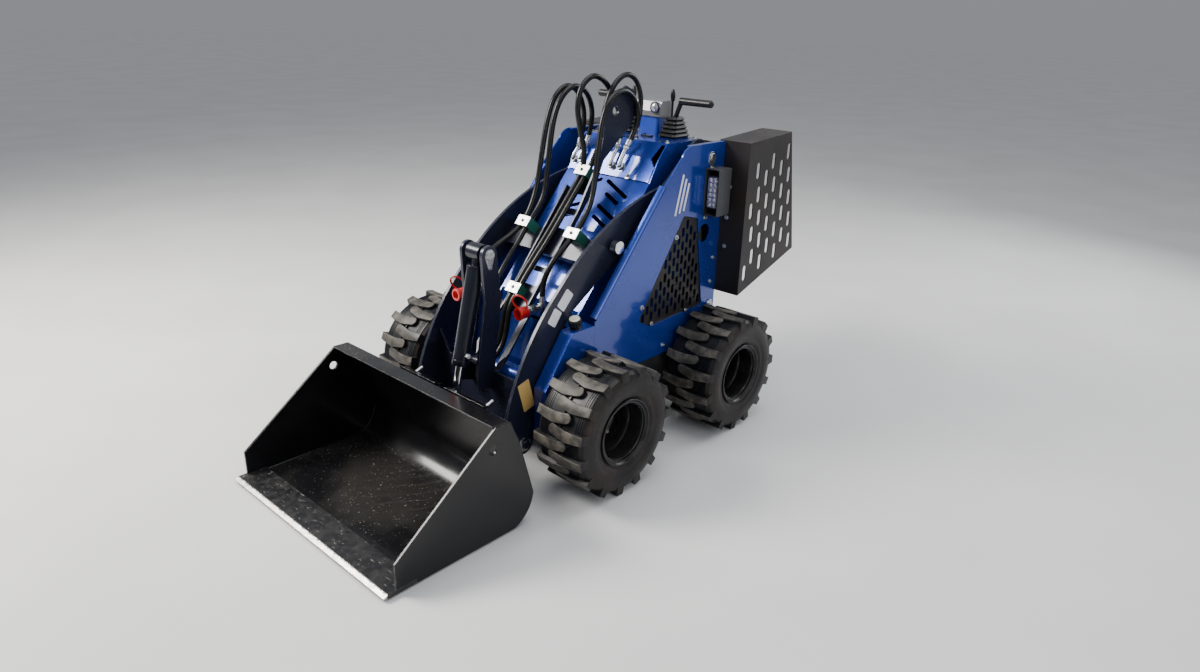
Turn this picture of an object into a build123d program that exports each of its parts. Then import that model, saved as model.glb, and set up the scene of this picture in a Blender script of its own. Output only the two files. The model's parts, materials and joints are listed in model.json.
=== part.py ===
"""Mini wheel loader: a compact skid-steer loader with a front bucket.

Millimetres. X points forward, Y to the machine's left, Z up. The origin is on the
ground, under the middle of the overall length.
"""
import os
from math import asin, atan2, degrees, hypot, pi, radians, tan

from build123d import *

os.makedirs("parts", exist_ok=True)

SIDES = (("left", 1), ("right", -1))

# Running clearances
PIN_GAP = 0.3        # between a pin or rod and its bore
SEAT_GAP = 0.3       # between curved faces that only touch

# Side panels, which set the places of everything across the machine
PANEL_Y = 310.0
PANEL_T = 6.0

# Wheels
TYRE_R = 228.6
TYRE_WIDTH = 216.0
TYRE_INNER_Y = PANEL_Y + 20
BEAD_R = 101.6
RIM_FLANGE_R = 117.0
RIM_WALL = 5.0
RIM_DISC_T = 8.0
HUB_R = 42.0
AXLE_R = 20.0
FRONT_AXLE_X = 169.0
REAR_AXLE_X = -503.0
LUG_H = 16.0
LUG_COUNT = 15       # in each of the two rows, which interleave
LUG_EDGE = 27.0      # furthest that a lug reaches round the tyre from its middle

# Towers
PANEL_LOW_Z = 307.0
PANEL_FRONT_X = 85.0
SHELF_Z = 519.0
TOWER_TOP_Z = 1074.0
TOWER_REAR_X = -617.0
TOWER_FRONT_X = -367.0
FLANGE_W = 23.0

# Boom
PIVOT_X, PIVOT_Z = -537.0, 1022.0
PIVOT_R = 18.0
ARM_Y = PANEL_Y - 64
ARM_T = 12.0
BOSS_R = 58.0
FOOT_X, FOOT_Z = 354.0, 145.0
FOOT_R = 38.0
FOOT_PIN_R = 14.0

# Chassis
INNER_Y = ARM_Y - 40
INNER_T = 6.0
FRAME_LOW_Z = 118.0
FRAME_T = 8.0
FRAME_HALF = PANEL_Y - 10
NOSE_X = 317.0
NOSE_TOP_Z = 345.0
CHEEK_IN_Y = PANEL_Y - 54
CHEEK_T = 5.0
CROSS_TUBE_R = 38.0
CROSS_TUBE_X, CROSS_TUBE_Z = 215.0, 292.0
REAR_WALL_T = 5.0

# Hood, cowl and deck
HOOD_T = 4.0
HOOD_HALF = INNER_Y - INNER_T
HOOD_TOP_X, HOOD_TOP_Z = -303.0, 937.0
HOOD_LOW_X, HOOD_LOW_Z = 50.0, 531.0
COWL_T = 4.0
DECK_Z = 1066.0

# Work lights
LIGHT_X0, LIGHT_X1 = -580.0, -500.0
LIGHT_Z0, LIGHT_Z1 = TOWER_TOP_Z - 262, TOWER_TOP_Z - 89
LIGHT_W = 62.0
LIGHT_WALL = 3.0
LAMP_W, LAMP_H = 46.0, 120.0

# Rear guards and platform
GUARD_Y = PANEL_Y + 110
GUARD_T = 4.0
GUARD_TOP_IN_Y = PANEL_Y - 25
PLATFORM_Z = 175.0
PLATFORM_REAR_X = -1050.0
PLATFORM_FRONT_X = -770.0
PLATFORM_HALF = 270.0

# Lift cylinders
LIFT_Y = PANEL_Y - 38
LIFT_BASE_X, LIFT_BASE_Z = -585.0, 440.0
LIFT_EYE_X, LIFT_EYE_Z = -60.0, 760.0
LIFT_BARREL_R = 22.0
LIFT_BASE_R = 23.0
LIFT_ROD_R = 12.5
LIFT_BARREL_L = 520.0
LIFT_ROD_START = 36.0
LIFT_EYE_R = 22.0
LIFT_EYE_W = 26.0
LIFT_PIN_R = 11.0

# Tilt cylinder
TILT_TOP_X, TILT_TOP_Z = 329.0, 760.0
TILT_EYE_X, TILT_EYE_Z = 455.0, 240.0
TILT_BARREL_R = 29.0
TILT_ROD_R = 14.0
TILT_BARREL_L = 390.0
TILT_ROD_START = 112.0
TILT_EYE_R = 19.0
TILT_EYE_W = 34.0
TILT_PIN_R = 12.0

# Tilt bracket
BRACKET_Y = 58.0
BRACKET_T = 12.0
BRACE_X, BRACE_Z, BRACE_R = 344.0, 372.0, 16.0

# Bucket
BUCKET_HALF = 437.0
BUCKET_T = 5.0
SIDE_T = 8.0
EDGE_X = 1050.0
EDGE_T = 14.0
EDGE_W = 110.0
BUCKET_FLOOR_Z = 6.0
SIDE_HOLE_X, SIDE_HOLE_Z = 652.0, 314.0
SIDE_HOLE_R = 15.0

# Attach plate
PLATE_HALF = ARM_Y - 21
LUG_IN_Y = 22.0
MOUNT_T = 8.0
MOUNT_RIB_Y = (30.0, 110.0, 200.0)
LUG_T = 10.0
EYE_WAY = 24.0       # half of the gap in the mount plate that the tilt rod's eye passes through


def save(builder, name):
    """Label a finished sub-part and write it as one STEP file."""
    builder.part.label = name
    export_step(builder.part, f"parts/{name}.step")


def side_plane(sign, inner, outer):
    """Plane across the machine from which a plate grows towards -Y to fill inner..outer."""
    return Plane.XZ.offset(-max(sign * inner, sign * outer))


def along(start, end, distance):
    """Point at a distance from start towards end, in the X-Z plane."""
    length = hypot(end[0] - start[0], end[1] - start[1])
    return (start[0] + (end[0] - start[0]) * distance / length,
            start[1] + (end[1] - start[1]) * distance / length)


def cylinder_plane(start, end, y):
    """Plane at start, with its normal pointing to end, at a given Y."""
    return Plane(origin=(start[0], y, start[1]), x_dir=(0, 1, 0),
                 z_dir=(end[0] - start[0], 0, end[1] - start[1]))


# Wheels: a lugged tyre and a deep-dish rim on each stub axle
WHEELS = [  # name, axle x, side
    ("front_left", FRONT_AXLE_X, 1),
    ("front_right", FRONT_AXLE_X, -1),
    ("rear_left", REAR_AXLE_X, 1),
    ("rear_right", REAR_AXLE_X, -1),
]
RIM_IN_Y = TYRE_INNER_Y + 8
RIM_OUT_Y = TYRE_INNER_Y + TYRE_WIDTH - 6
DISC_Y = TYRE_INNER_Y + 60
HUB_IN_Y = TYRE_INNER_Y + 16
TYRE_MID_Y = TYRE_INNER_Y + TYRE_WIDTH / 2
RIM_SECTION = [  # radius, y
    (BEAD_R, RIM_IN_Y), (RIM_FLANGE_R, RIM_IN_Y), (RIM_FLANGE_R, RIM_IN_Y + RIM_WALL),
    (BEAD_R, RIM_IN_Y + RIM_WALL), (BEAD_R, RIM_OUT_Y - RIM_WALL), (RIM_FLANGE_R, RIM_OUT_Y - RIM_WALL),
    (RIM_FLANGE_R, RIM_OUT_Y), (BEAD_R - RIM_WALL, RIM_OUT_Y), (BEAD_R - RIM_WALL, DISC_Y + RIM_DISC_T),
    (HUB_R, DISC_Y + RIM_DISC_T), (HUB_R, DISC_Y + 3 * RIM_DISC_T), (0, DISC_Y + 3 * RIM_DISC_T),
    (0, DISC_Y), (AXLE_R + PIN_GAP, DISC_Y), (AXLE_R + PIN_GAP, HUB_IN_Y), (HUB_R, HUB_IN_Y),
    (HUB_R, DISC_Y), (BEAD_R - RIM_WALL, DISC_Y), (BEAD_R - RIM_WALL, RIM_IN_Y),
]

TREAD_R = TYRE_R - LUG_H
LUG_TOP_R = (TYRE_R ** 2 - LUG_EDGE ** 2) ** 0.5
LUG_FOOT_R = TREAD_R - 30
LUG_PHASE = degrees(asin(LUG_EDGE / TYRE_R))
half = TYRE_WIDTH / 2
bead_half = half - 8 - RIM_WALL - SEAT_GAP

# One tyre about the origin, its axis along Y: lugs reach from each shoulder past the middle
with BuildPart() as tyre_form:
    with BuildSketch(Plane.XY):
        with BuildLine():
            l1 = Line((BEAD_R + SEAT_GAP, bead_half), (BEAD_R + SEAT_GAP, -bead_half))
            l2 = Line(l1 @ 1, (RIM_FLANGE_R + 2, -bead_half))
            l3 = ThreePointArc(l2 @ 1, (165, -half), (TREAD_R - 8, -half * 0.93))
            l4 = Line(l3 @ 1, (TREAD_R, -half * 0.78))
            l5 = Line(l4 @ 1, (TREAD_R, half * 0.78))
            l6 = Line(l5 @ 1, (TREAD_R - 8, half * 0.93))
            l7 = ThreePointArc(l6 @ 1, (165, half), (RIM_FLANGE_R + 2, bead_half))
            Line(l7 @ 1, l1 @ 0)
        make_face()
    revolve(axis=Axis.Y)
    for name, sign in SIDES:
        with BuildPart(mode=Mode.PRIVATE) as lug:
            with BuildSketch(Plane(origin=(0, 0, -LUG_FOOT_R), x_dir=(0, 1, 0), z_dir=(0, 0, -1))):
                with BuildLine():
                    g1 = Polyline((sign * 104, 15), (sign * 30, 12), (-sign * 22, 20))
                    g2 = ThreePointArc(g1 @ 1, (-sign * 40, 3), (-sign * 26, -15))
                    Polyline(g2 @ 1, (sign * 30, -LUG_EDGE), (sign * 104, -16), g1 @ 0)
                make_face()
            extrude(amount=LUG_TOP_R - LUG_FOOT_R)
        row_turn = 0 if sign > 0 else 180 / LUG_COUNT
        turns = [row_turn - LUG_PHASE + 360 / LUG_COUNT * i for i in range(LUG_COUNT)]
        add([lug.part.rotate(Axis.Y, turn) for turn in turns])

for wheel, axle_x, sign in WHEELS:
    with BuildPart() as tyre:
        with Locations((axle_x, sign * TYRE_MID_Y, TYRE_R)):
            add(tyre_form.part)
    save(tyre, f"tyre_{wheel}")

    axle = Plane.XY.offset(TYRE_R)
    axis = Axis((axle_x, 0, TYRE_R), (0, 1, 0))
    with BuildPart() as rim:
        with BuildSketch(axle):
            with BuildLine():
                Polyline(*[(axle_x + radius, sign * y) for radius, y in RIM_SECTION], close=True)
            make_face()
        revolve(axis=axis)
    save(rim, f"rim_{wheel}")

# Wheel motors with their stub axles, one at each wheel
MOTOR_R = 60.0
with BuildPart() as wheel_motors:
    for wheel, axle_x, sign in WHEELS:
        start_y = PANEL_Y if axle_x == FRONT_AXLE_X else FRAME_HALF
        hub_plane = Plane(origin=(axle_x, sign * start_y, TYRE_R), z_dir=(0, sign, 0))
        with BuildSketch(hub_plane):
            Circle(MOTOR_R)
        extrude(amount=HUB_IN_Y - start_y - 2)
        with BuildSketch(hub_plane):
            Circle(AXLE_R)
        extrude(amount=DISC_Y - start_y - 1)
save(wheel_motors, "wheel_motors")

# Lower frame: a box of plate between the wheels, open on top for the engine
FRAME_FRONT_X = CROSS_TUBE_X - 60
FRAME_REAR_X = TOWER_REAR_X
frame_mid_x = (FRAME_FRONT_X + FRAME_REAR_X) / 2
frame_len = FRAME_FRONT_X - FRAME_REAR_X
with BuildPart() as lower_frame:
    with BuildSketch(Plane.XY.offset(FRAME_LOW_Z)):
        with Locations((frame_mid_x, 0)):
            Rectangle(frame_len, 2 * FRAME_HALF)
    extrude(amount=PANEL_LOW_Z - FRAME_LOW_Z)
    with BuildSketch(Plane.XY.offset(FRAME_LOW_Z + FRAME_T)):
        with Locations((frame_mid_x, 0)):
            Rectangle(frame_len - 2 * FRAME_T, 2 * (FRAME_HALF - FRAME_T))
    extrude(amount=PANEL_LOW_Z - FRAME_LOW_Z, mode=Mode.SUBTRACT)
save(lower_frame, "lower_frame")

# Front panel with the cross tube, between the two cheeks
FRONT_PANEL_TOP = (95.0, 470.0)
FRONT_PANEL_T = 8.0
with BuildPart() as front_panel:
    with BuildSketch(Plane.XZ.offset(-(PANEL_Y - CHEEK_T))):
        with Locations((CROSS_TUBE_X, CROSS_TUBE_Z)):
            Circle(CROSS_TUBE_R)
            Circle(CROSS_TUBE_R - 6, mode=Mode.SUBTRACT)
    extrude(amount=2 * (PANEL_Y - CHEEK_T))
    with BuildSketch(Plane.XZ.offset(-FRAME_HALF)):
        with BuildLine():
            Polyline((FRAME_FRONT_X, FRAME_LOW_Z), (CROSS_TUBE_X, FRAME_LOW_Z),
                     (CROSS_TUBE_X, CROSS_TUBE_Z - CROSS_TUBE_R + 2),
                     (CROSS_TUBE_X - FRONT_PANEL_T, CROSS_TUBE_Z - CROSS_TUBE_R + 3),
                     (CROSS_TUBE_X - FRONT_PANEL_T, FRAME_LOW_Z + FRONT_PANEL_T),
                     (FRAME_FRONT_X + FRONT_PANEL_T, FRAME_LOW_Z + FRONT_PANEL_T),
                     (FRAME_FRONT_X + FRONT_PANEL_T, 330), FRONT_PANEL_TOP,
                     (FRONT_PANEL_TOP[0] - FRONT_PANEL_T, FRONT_PANEL_TOP[1] - 4), (FRAME_FRONT_X, 326),
                     close=True)
        make_face()
    extrude(amount=2 * FRAME_HALF)
save(front_panel, "front_panel")

# Nose cheeks outside the arms, with their bright sloping top edge and the shelf
NOSE_SLOPE_X = 191.0
for name, sign in SIDES:
    with BuildPart() as cheek:
        with BuildSketch(side_plane(sign, PANEL_Y - CHEEK_T, PANEL_Y)):
            with BuildLine():
                Polyline((FRAME_FRONT_X, FRAME_LOW_Z), (NOSE_X - 30, FRAME_LOW_Z), (NOSE_X, FRAME_LOW_Z + 40),
                         (NOSE_X, NOSE_TOP_Z), (NOSE_SLOPE_X, SHELF_Z), (PANEL_FRONT_X, SHELF_Z),
                         (PANEL_FRONT_X, PANEL_LOW_Z), (FRAME_FRONT_X, PANEL_LOW_Z), close=True)
            make_face()
        extrude(amount=CHEEK_T)
        with BuildSketch(side_plane(sign, CHEEK_IN_Y, PANEL_Y - CHEEK_T)):
            with BuildLine():
                Polyline((NOSE_X, FRAME_LOW_Z + 40), (NOSE_X, NOSE_TOP_Z), (NOSE_SLOPE_X, SHELF_Z),
                         (PANEL_FRONT_X, SHELF_Z), (PANEL_FRONT_X, SHELF_Z - CHEEK_T),
                         (NOSE_SLOPE_X - 2, SHELF_Z - CHEEK_T), (NOSE_X - CHEEK_T, NOSE_TOP_Z - 2),
                         (NOSE_X - CHEEK_T, FRAME_LOW_Z + 40), close=True)
            make_face()
        extrude(amount=PANEL_Y - CHEEK_T - CHEEK_IN_Y)
    save(cheek, f"nose_cheek_{name}")

# Side panels: the tall tower plates with their rolled front edge and the grille's opening
PANEL_HOLES = [(-519, 738, 35), (-348, 371, 6)]   # x, z, radius
OPENING = [(-384, 825), (-473, 803), (-534, 448), (-223, 437), (-146, 473)]
OPENING_R = 12.0
GRILLE_T = 3.0
SLOT_L, SLOT_W = 37.0, 16.0
SLOT_PITCH_X, SLOT_PITCH_Z = 24.0, 52.0
SLOT_EDGE = 8.0      # least bare metal between a slot and the opening's edge


def opening_top(x):
    """Height of the opening's upper edge, which rises steeply at both ends."""
    (top_x, top_z), (back_x, back_z), (low_x, low_z), front, (end_x, end_z) = OPENING
    if x > top_x:
        return end_z + (end_x - x) * (top_z - end_z) / (end_x - top_x)
    if x > back_x:
        return top_z - (top_x - x) * (top_z - back_z) / (top_x - back_x)
    return back_z - (back_x - x) * (back_z - low_z) / (back_x - low_x)


def grille_slots():
    """Centres of the slots whose ends stay inside the opening."""
    centres = []
    low_z = OPENING[2][1] + SLOT_EDGE + SLOT_L / 2
    for column in range(15):
        x = OPENING[2][0] + SLOT_PITCH_X * (column + 0.8)
        high_z = min(opening_top(x - SLOT_W / 2), opening_top(x + SLOT_W / 2)) - SLOT_EDGE - SLOT_L / 2
        z = low_z + (SLOT_PITCH_Z / 2 if column % 2 else 0)
        while z <= high_z:
            centres.append((x, z))
            z += SLOT_PITCH_Z
    return centres


# Rows of slots in each column of the rear guard, counted down from its top
GUARD_SLOT_L, GUARD_SLOT_W = 62.0, 22.0
GUARD_ROWS = [range(4, 5), range(1, 4), range(0, 5), range(0, 4), range(0, 5), range(0, 4), range(0, 5)]
guard_slots = []
for column, rows in enumerate(GUARD_ROWS):
    for row in rows:
        z = 943 + 13 * column - 92 * row - (46 if column % 2 else 0)
        guard_slots.append((-609 - 55 * column + 0.19 * (z - 800), z))
FLANGE_LOW = (PANEL_FRONT_X, 545.0)
FLANGE_TOP = (-260.0, 949.0)
FLANGE_R = 14.0      # outside of the bend
flange_len = hypot(FLANGE_TOP[0] - FLANGE_LOW[0], FLANGE_TOP[1] - FLANGE_LOW[1])
flange_ux = (FLANGE_TOP[0] - FLANGE_LOW[0]) / flange_len
flange_uz = (FLANGE_TOP[1] - FLANGE_LOW[1]) / flange_len
bend_out = FLANGE_R * (1 - 0.5 ** 0.5)
bend_in = FLANGE_R - (FLANGE_R - PANEL_T) * 0.5 ** 0.5
bend_low = (FLANGE_LOW[0] - flange_uz * FLANGE_R, FLANGE_LOW[1] + flange_ux * FLANGE_R)
bend_top = (FLANGE_TOP[0] - flange_uz * FLANGE_R, FLANGE_TOP[1] + flange_ux * FLANGE_R)
for name, sign in SIDES:
    with BuildPart() as side_panel:
        with BuildSketch(side_plane(sign, PANEL_Y - PANEL_T, PANEL_Y)):
            with BuildLine():
                p1 = Polyline((TOWER_FRONT_X - 40, TOWER_TOP_Z), (TOWER_REAR_X, TOWER_TOP_Z),
                              (TOWER_REAR_X, PANEL_LOW_Z), (PANEL_FRONT_X, PANEL_LOW_Z),
                              (PANEL_FRONT_X, FLANGE_LOW[1] - FLANGE_R), bend_low, bend_top, FLANGE_TOP,
                              (-300, 985), (TOWER_FRONT_X + 12, TOWER_TOP_Z - 34))
                ThreePointArc(p1 @ 1, (TOWER_FRONT_X - 10, TOWER_TOP_Z - 10), p1 @ 0)
            make_face()
            for x, z, radius in PANEL_HOLES:
                with Locations((x, z)):
                    Circle(radius, mode=Mode.SUBTRACT)
        extrude(amount=PANEL_T)
        with BuildSketch(Plane(origin=(FLANGE_LOW[0], sign * PANEL_Y, FLANGE_LOW[1]), x_dir=(0, -sign, 0),
                               z_dir=(flange_ux, 0, flange_uz))):
            with BuildLine():
                r1 = ThreePointArc((0, -sign * FLANGE_R), (bend_out, -sign * bend_out), (FLANGE_R, 0))
                r2 = Polyline(r1 @ 1, (FLANGE_W, 0), (FLANGE_W, -sign * PANEL_T), (FLANGE_R, -sign * PANEL_T))
                r3 = ThreePointArc(r2 @ 1, (bend_in, -sign * bend_in), (PANEL_T, -sign * FLANGE_R))
                Line(r3 @ 1, r1 @ 0)
            make_face()
        extrude(amount=flange_len)
        with BuildSketch(side_plane(sign, PANEL_Y - FLANGE_W, PANEL_Y - PANEL_T)):
            with BuildLine():
                Polyline((TOWER_FRONT_X - 40, TOWER_TOP_Z), (TOWER_REAR_X, TOWER_TOP_Z),
                         (TOWER_REAR_X, TOWER_TOP_Z - 6), (TOWER_FRONT_X - 40, TOWER_TOP_Z - 6), close=True)
            make_face()
        extrude(amount=FLANGE_W - PANEL_T)
        with BuildSketch(side_plane(sign, PANEL_Y - PANEL_T, PANEL_Y)):
            with BuildLine():
                Polyline(*OPENING, close=True)
            make_face()
            fillet(vertices(), OPENING_R)
        extrude(amount=PANEL_T, mode=Mode.SUBTRACT)
    save(side_panel, f"side_panel_{name}")

    # Grille: a thin plate with staggered upright slots behind the opening
    with BuildPart() as side_grille:
        with BuildSketch(side_plane(sign, PANEL_Y - PANEL_T - GRILLE_T, PANEL_Y - PANEL_T)):
            with BuildLine():
                Polyline((-500, 815), (-384, 840), (-140, 473), (-210, 428), (-548, 438), close=True)
            make_face()
            with Locations(*grille_slots()):
                SlotOverall(SLOT_L, SLOT_W, rotation=90, mode=Mode.SUBTRACT)
        extrude(amount=GRILLE_T)
    save(side_grille, f"side_grille_{name}")

    # Rear guard: a folded wing beside the operator
    with BuildPart() as rear_guard:
        with BuildSketch(side_plane(sign, GUARD_Y - GUARD_T, GUARD_Y)):
            with BuildLine():
                Polyline((TOWER_REAR_X, 490), (-1007, 613), (-905, 1096), (TOWER_REAR_X, 1077), close=True)
            make_face()
            with Locations(*guard_slots):
                SlotOverall(GUARD_SLOT_L, GUARD_SLOT_W, rotation=90, mode=Mode.SUBTRACT)
        extrude(amount=GUARD_T)
        with BuildSketch(side_plane(sign, GUARD_TOP_IN_Y, GUARD_Y - GUARD_T)):
            with BuildLine():
                Polyline((TOWER_REAR_X, 490), (TOWER_REAR_X - GUARD_T, 492), (TOWER_REAR_X - GUARD_T, 1073),
                         (-906, 1092), (-905, 1096), (TOWER_REAR_X, 1077), close=True)
            make_face()
        extrude(amount=GUARD_Y - GUARD_T - GUARD_TOP_IN_Y)
    save(rear_guard, f"rear_guard_{name}")

    # Work light: a lamp in a box guard that is open to the front
    with BuildPart() as work_light:
        guard_back = Plane(origin=(LIGHT_X0, sign * (PANEL_Y + LIGHT_W / 2), (LIGHT_Z0 + LIGHT_Z1) / 2),
                           x_dir=(0, 1, 0), z_dir=(1, 0, 0))
        with BuildSketch(guard_back):
            Rectangle(LIGHT_W, LIGHT_Z1 - LIGHT_Z0)
        extrude(amount=LIGHT_X1 - LIGHT_X0)
        with BuildSketch(guard_back.offset(LIGHT_WALL)):
            Rectangle(LIGHT_W - 2 * LIGHT_WALL, LIGHT_Z1 - LIGHT_Z0 - 2 * LIGHT_WALL)
        extrude(amount=LIGHT_X1 - LIGHT_X0, mode=Mode.SUBTRACT)
        with BuildSketch(guard_back.offset(LIGHT_WALL)):
            RectangleRounded(LAMP_W, LAMP_H, 9)
        extrude(amount=LIGHT_X1 - LIGHT_X0 - 4 * LIGHT_WALL)
    save(work_light, f"work_light_{name}")

# Inner tower plates beside the hood, and the wall behind the engine
for name, sign in SIDES:
    with BuildPart() as inner_plate:
        with BuildSketch(side_plane(sign, INNER_Y - INNER_T, INNER_Y)):
            with BuildLine():
                Polyline((FRAME_REAR_X + FRAME_T, FRAME_LOW_Z + FRAME_T), (70, FRAME_LOW_Z + FRAME_T),
                         (70, 508), (HOOD_TOP_X, HOOD_TOP_Z), (-350, 1014), (-399, DECK_Z + COWL_T),
                         (TOWER_REAR_X + REAR_WALL_T, DECK_Z + COWL_T),
                         (TOWER_REAR_X + REAR_WALL_T, PANEL_LOW_Z), (FRAME_REAR_X + FRAME_T, PANEL_LOW_Z),
                         close=True)
            make_face()
        extrude(amount=INNER_T)
    save(inner_plate, f"inner_plate_{name}")

with BuildPart() as rear_wall:
    with BuildSketch(Plane.YZ.offset(TOWER_REAR_X)):
        with Locations((0, (PANEL_LOW_Z + DECK_Z) / 2)):
            Rectangle(2 * (PANEL_Y - PANEL_T), DECK_Z - PANEL_LOW_Z)
    extrude(amount=REAR_WALL_T)
save(rear_wall, "rear_wall")

# Hood: the sloping slotted plate over the engine
hood_dx, hood_dz = HOOD_LOW_X - HOOD_TOP_X, HOOD_LOW_Z - HOOD_TOP_Z
hood_len = hypot(hood_dx, hood_dz)
hood_nx, hood_nz = -hood_dz / hood_len, hood_dx / hood_len
hood_plane = Plane(origin=(HOOD_TOP_X - 1.5 * HOOD_T * hood_nx, 0, HOOD_TOP_Z - 1.5 * HOOD_T * hood_nz),
                   x_dir=(hood_dx, 0, hood_dz), z_dir=(hood_nx, 0, hood_nz))
HOOD_SLOT_W = 15.0
HOOD_SLOTS = [  # start y, distance down the slope, end y, distance down the slope
    (12, 17, 141, 75), (35, 71, 117, 106), (29, 124, 146, 174), (33, 170, 117, 205),
]
with BuildPart() as hood:
    with BuildSketch(Plane.XZ.offset(-HOOD_HALF)):
        with BuildLine():
            Polyline((HOOD_TOP_X, HOOD_TOP_Z), (HOOD_LOW_X, HOOD_LOW_Z), (HOOD_LOW_X + 18, HOOD_LOW_Z - 62),
                     (HOOD_LOW_X + 14, HOOD_LOW_Z - 63),
                     (HOOD_LOW_X - hood_nx * HOOD_T, HOOD_LOW_Z - hood_nz * HOOD_T),
                     (HOOD_TOP_X - hood_nx * HOOD_T, HOOD_TOP_Z - hood_nz * HOOD_T), close=True)
        make_face()
    extrude(amount=2 * HOOD_HALF)
    with BuildSketch(hood_plane):
        for name, sign in SIDES:
            for start_y, start_s, end_y, end_s in HOOD_SLOTS:
                run_s, run_y = end_s - start_s, sign * (end_y - start_y)
                with Locations(((start_s + end_s) / 2, sign * (start_y + end_y) / 2)):
                    SlotOverall(hypot(run_s, run_y), HOOD_SLOT_W, rotation=degrees(atan2(run_y, run_s)))
    extrude(amount=2 * HOOD_T, mode=Mode.SUBTRACT)
save(hood, "hood")

# Cowl and deck: the folded sheet above the hood that carries the controls
COWL_LINE = [(HOOD_TOP_X + 2 * hood_nx, HOOD_TOP_Z + 2 * hood_nz + 3), (-350, 1018), (-399, DECK_Z + COWL_T),
             (TOWER_REAR_X + REAR_WALL_T, DECK_Z + COWL_T)]
with BuildPart() as cowl:
    with BuildSketch(Plane.XZ.offset(-HOOD_HALF)):
        with BuildLine():
            Polyline(*COWL_LINE, (TOWER_REAR_X + REAR_WALL_T, DECK_Z), (-401, DECK_Z), (-353, 1014),
                     (HOOD_TOP_X - 2, HOOD_TOP_Z + 2), close=True)
        make_face()
    extrude(amount=2 * HOOD_HALF)
    for name, sign in SIDES:
        with BuildSketch(Plane.YZ.offset(-410)):
            with BuildLine():
                Polyline((sign * (HOOD_HALF + 1), 990), (sign * HOOD_HALF, 990),
                         (sign * (HOOD_HALF - 30), 1015), (sign * (HOOD_HALF - 17), DECK_Z - 2),
                         (sign * (HOOD_HALF + 1), DECK_Z - 2), close=True)
            make_face()
        extrude(amount=85, mode=Mode.SUBTRACT)
save(cowl, "cowl")

# Engine as one block on the lower frame
ENGINE_MID_X, ENGINE_L, ENGINE_H = -250.0, 380.0, 440.0
with BuildPart() as engine:
    with BuildSketch(Plane.XY.offset(FRAME_LOW_Z + FRAME_T)):
        with Locations((ENGINE_MID_X, 0)):
            Rectangle(ENGINE_L, 2 * (HOOD_HALF - 35))
    extrude(amount=ENGINE_H)
save(engine, "engine")

# Filler cap on the left shelf
CAP_X, CAP_Y = 150.0, PANEL_Y - 29
CAP_R, CAP_H = 23.0, 24.0
NECK_R, NECK_H = 18.0, 22.0
with BuildPart() as filler_cap:
    with BuildSketch(Plane.XY.offset(SHELF_Z)):
        with Locations((CAP_X, CAP_Y)):
            Circle(NECK_R)
    extrude(amount=NECK_H)
    with BuildSketch(Plane.XY.offset(SHELF_Z + NECK_H)):
        with Locations((CAP_X, CAP_Y)):
            Circle(CAP_R)
            with PolarLocations(CAP_R + 1, 12):
                Circle(2.5, mode=Mode.SUBTRACT)
    extrude(amount=CAP_H - 5)
    with BuildSketch(Plane.XY.offset(SHELF_Z + NECK_H + CAP_H - 5)):
        with Locations((CAP_X, CAP_Y)):
            Circle(CAP_R - 2)
    extrude(amount=5, taper=30)
save(filler_cap, "filler_cap")

# Pins of the boom and of the lift cylinders, from the inner plates to the side panels
with BuildPart() as tower_pins:
    for name, sign in SIDES:
        for x, z, radius in ((PIVOT_X, PIVOT_Z, PIVOT_R), (LIFT_BASE_X, LIFT_BASE_Z, LIFT_PIN_R)):
            with BuildSketch(side_plane(sign, INNER_Y, PANEL_Y - PANEL_T)):
                with Locations((x, z)):
                    Circle(radius)
            extrude(amount=PANEL_Y - PANEL_T - INNER_Y)
save(tower_pins, "tower_pins")

# Control pod in the middle of the deck: a column, a head with a sloping front and its lens
CONTROL_X = -558.0
POD_Z = DECK_Z + COWL_T
POD_COLUMN_H = 70.0
HEAD_Z = POD_Z + POD_COLUMN_H
HEAD_H, HEAD_HALF_X, HEAD_HALF_Y = 60.0, 38.0, 64.0
LENS_Y, LENS_R = 45.0, 19.0
with BuildPart() as control_pod:
    with BuildSketch(Plane.XY.offset(POD_Z)):
        with Locations((CONTROL_X, 0)):
            RectangleRounded(56, 100, 10)
    extrude(amount=POD_COLUMN_H)
    with BuildSketch(Plane.XZ.offset(-HEAD_HALF_Y)):
        with BuildLine():
            Polyline((CONTROL_X - HEAD_HALF_X, HEAD_Z), (CONTROL_X + HEAD_HALF_X, HEAD_Z),
                     (CONTROL_X + HEAD_HALF_X, HEAD_Z + 22), (CONTROL_X + HEAD_HALF_X - 14, HEAD_Z + HEAD_H),
                     (CONTROL_X - HEAD_HALF_X, HEAD_Z + HEAD_H), close=True)
        make_face()
        fillet(vertices(), 6)
    extrude(amount=2 * HEAD_HALF_Y)
    with BuildSketch(Plane.YZ.offset(CONTROL_X)):
        with Locations((LENS_Y, HEAD_Z + HEAD_H - LENS_R - 4)):
            Circle(LENS_R)
    extrude(amount=HEAD_HALF_X + 6)
save(control_pod, "control_pod")

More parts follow.
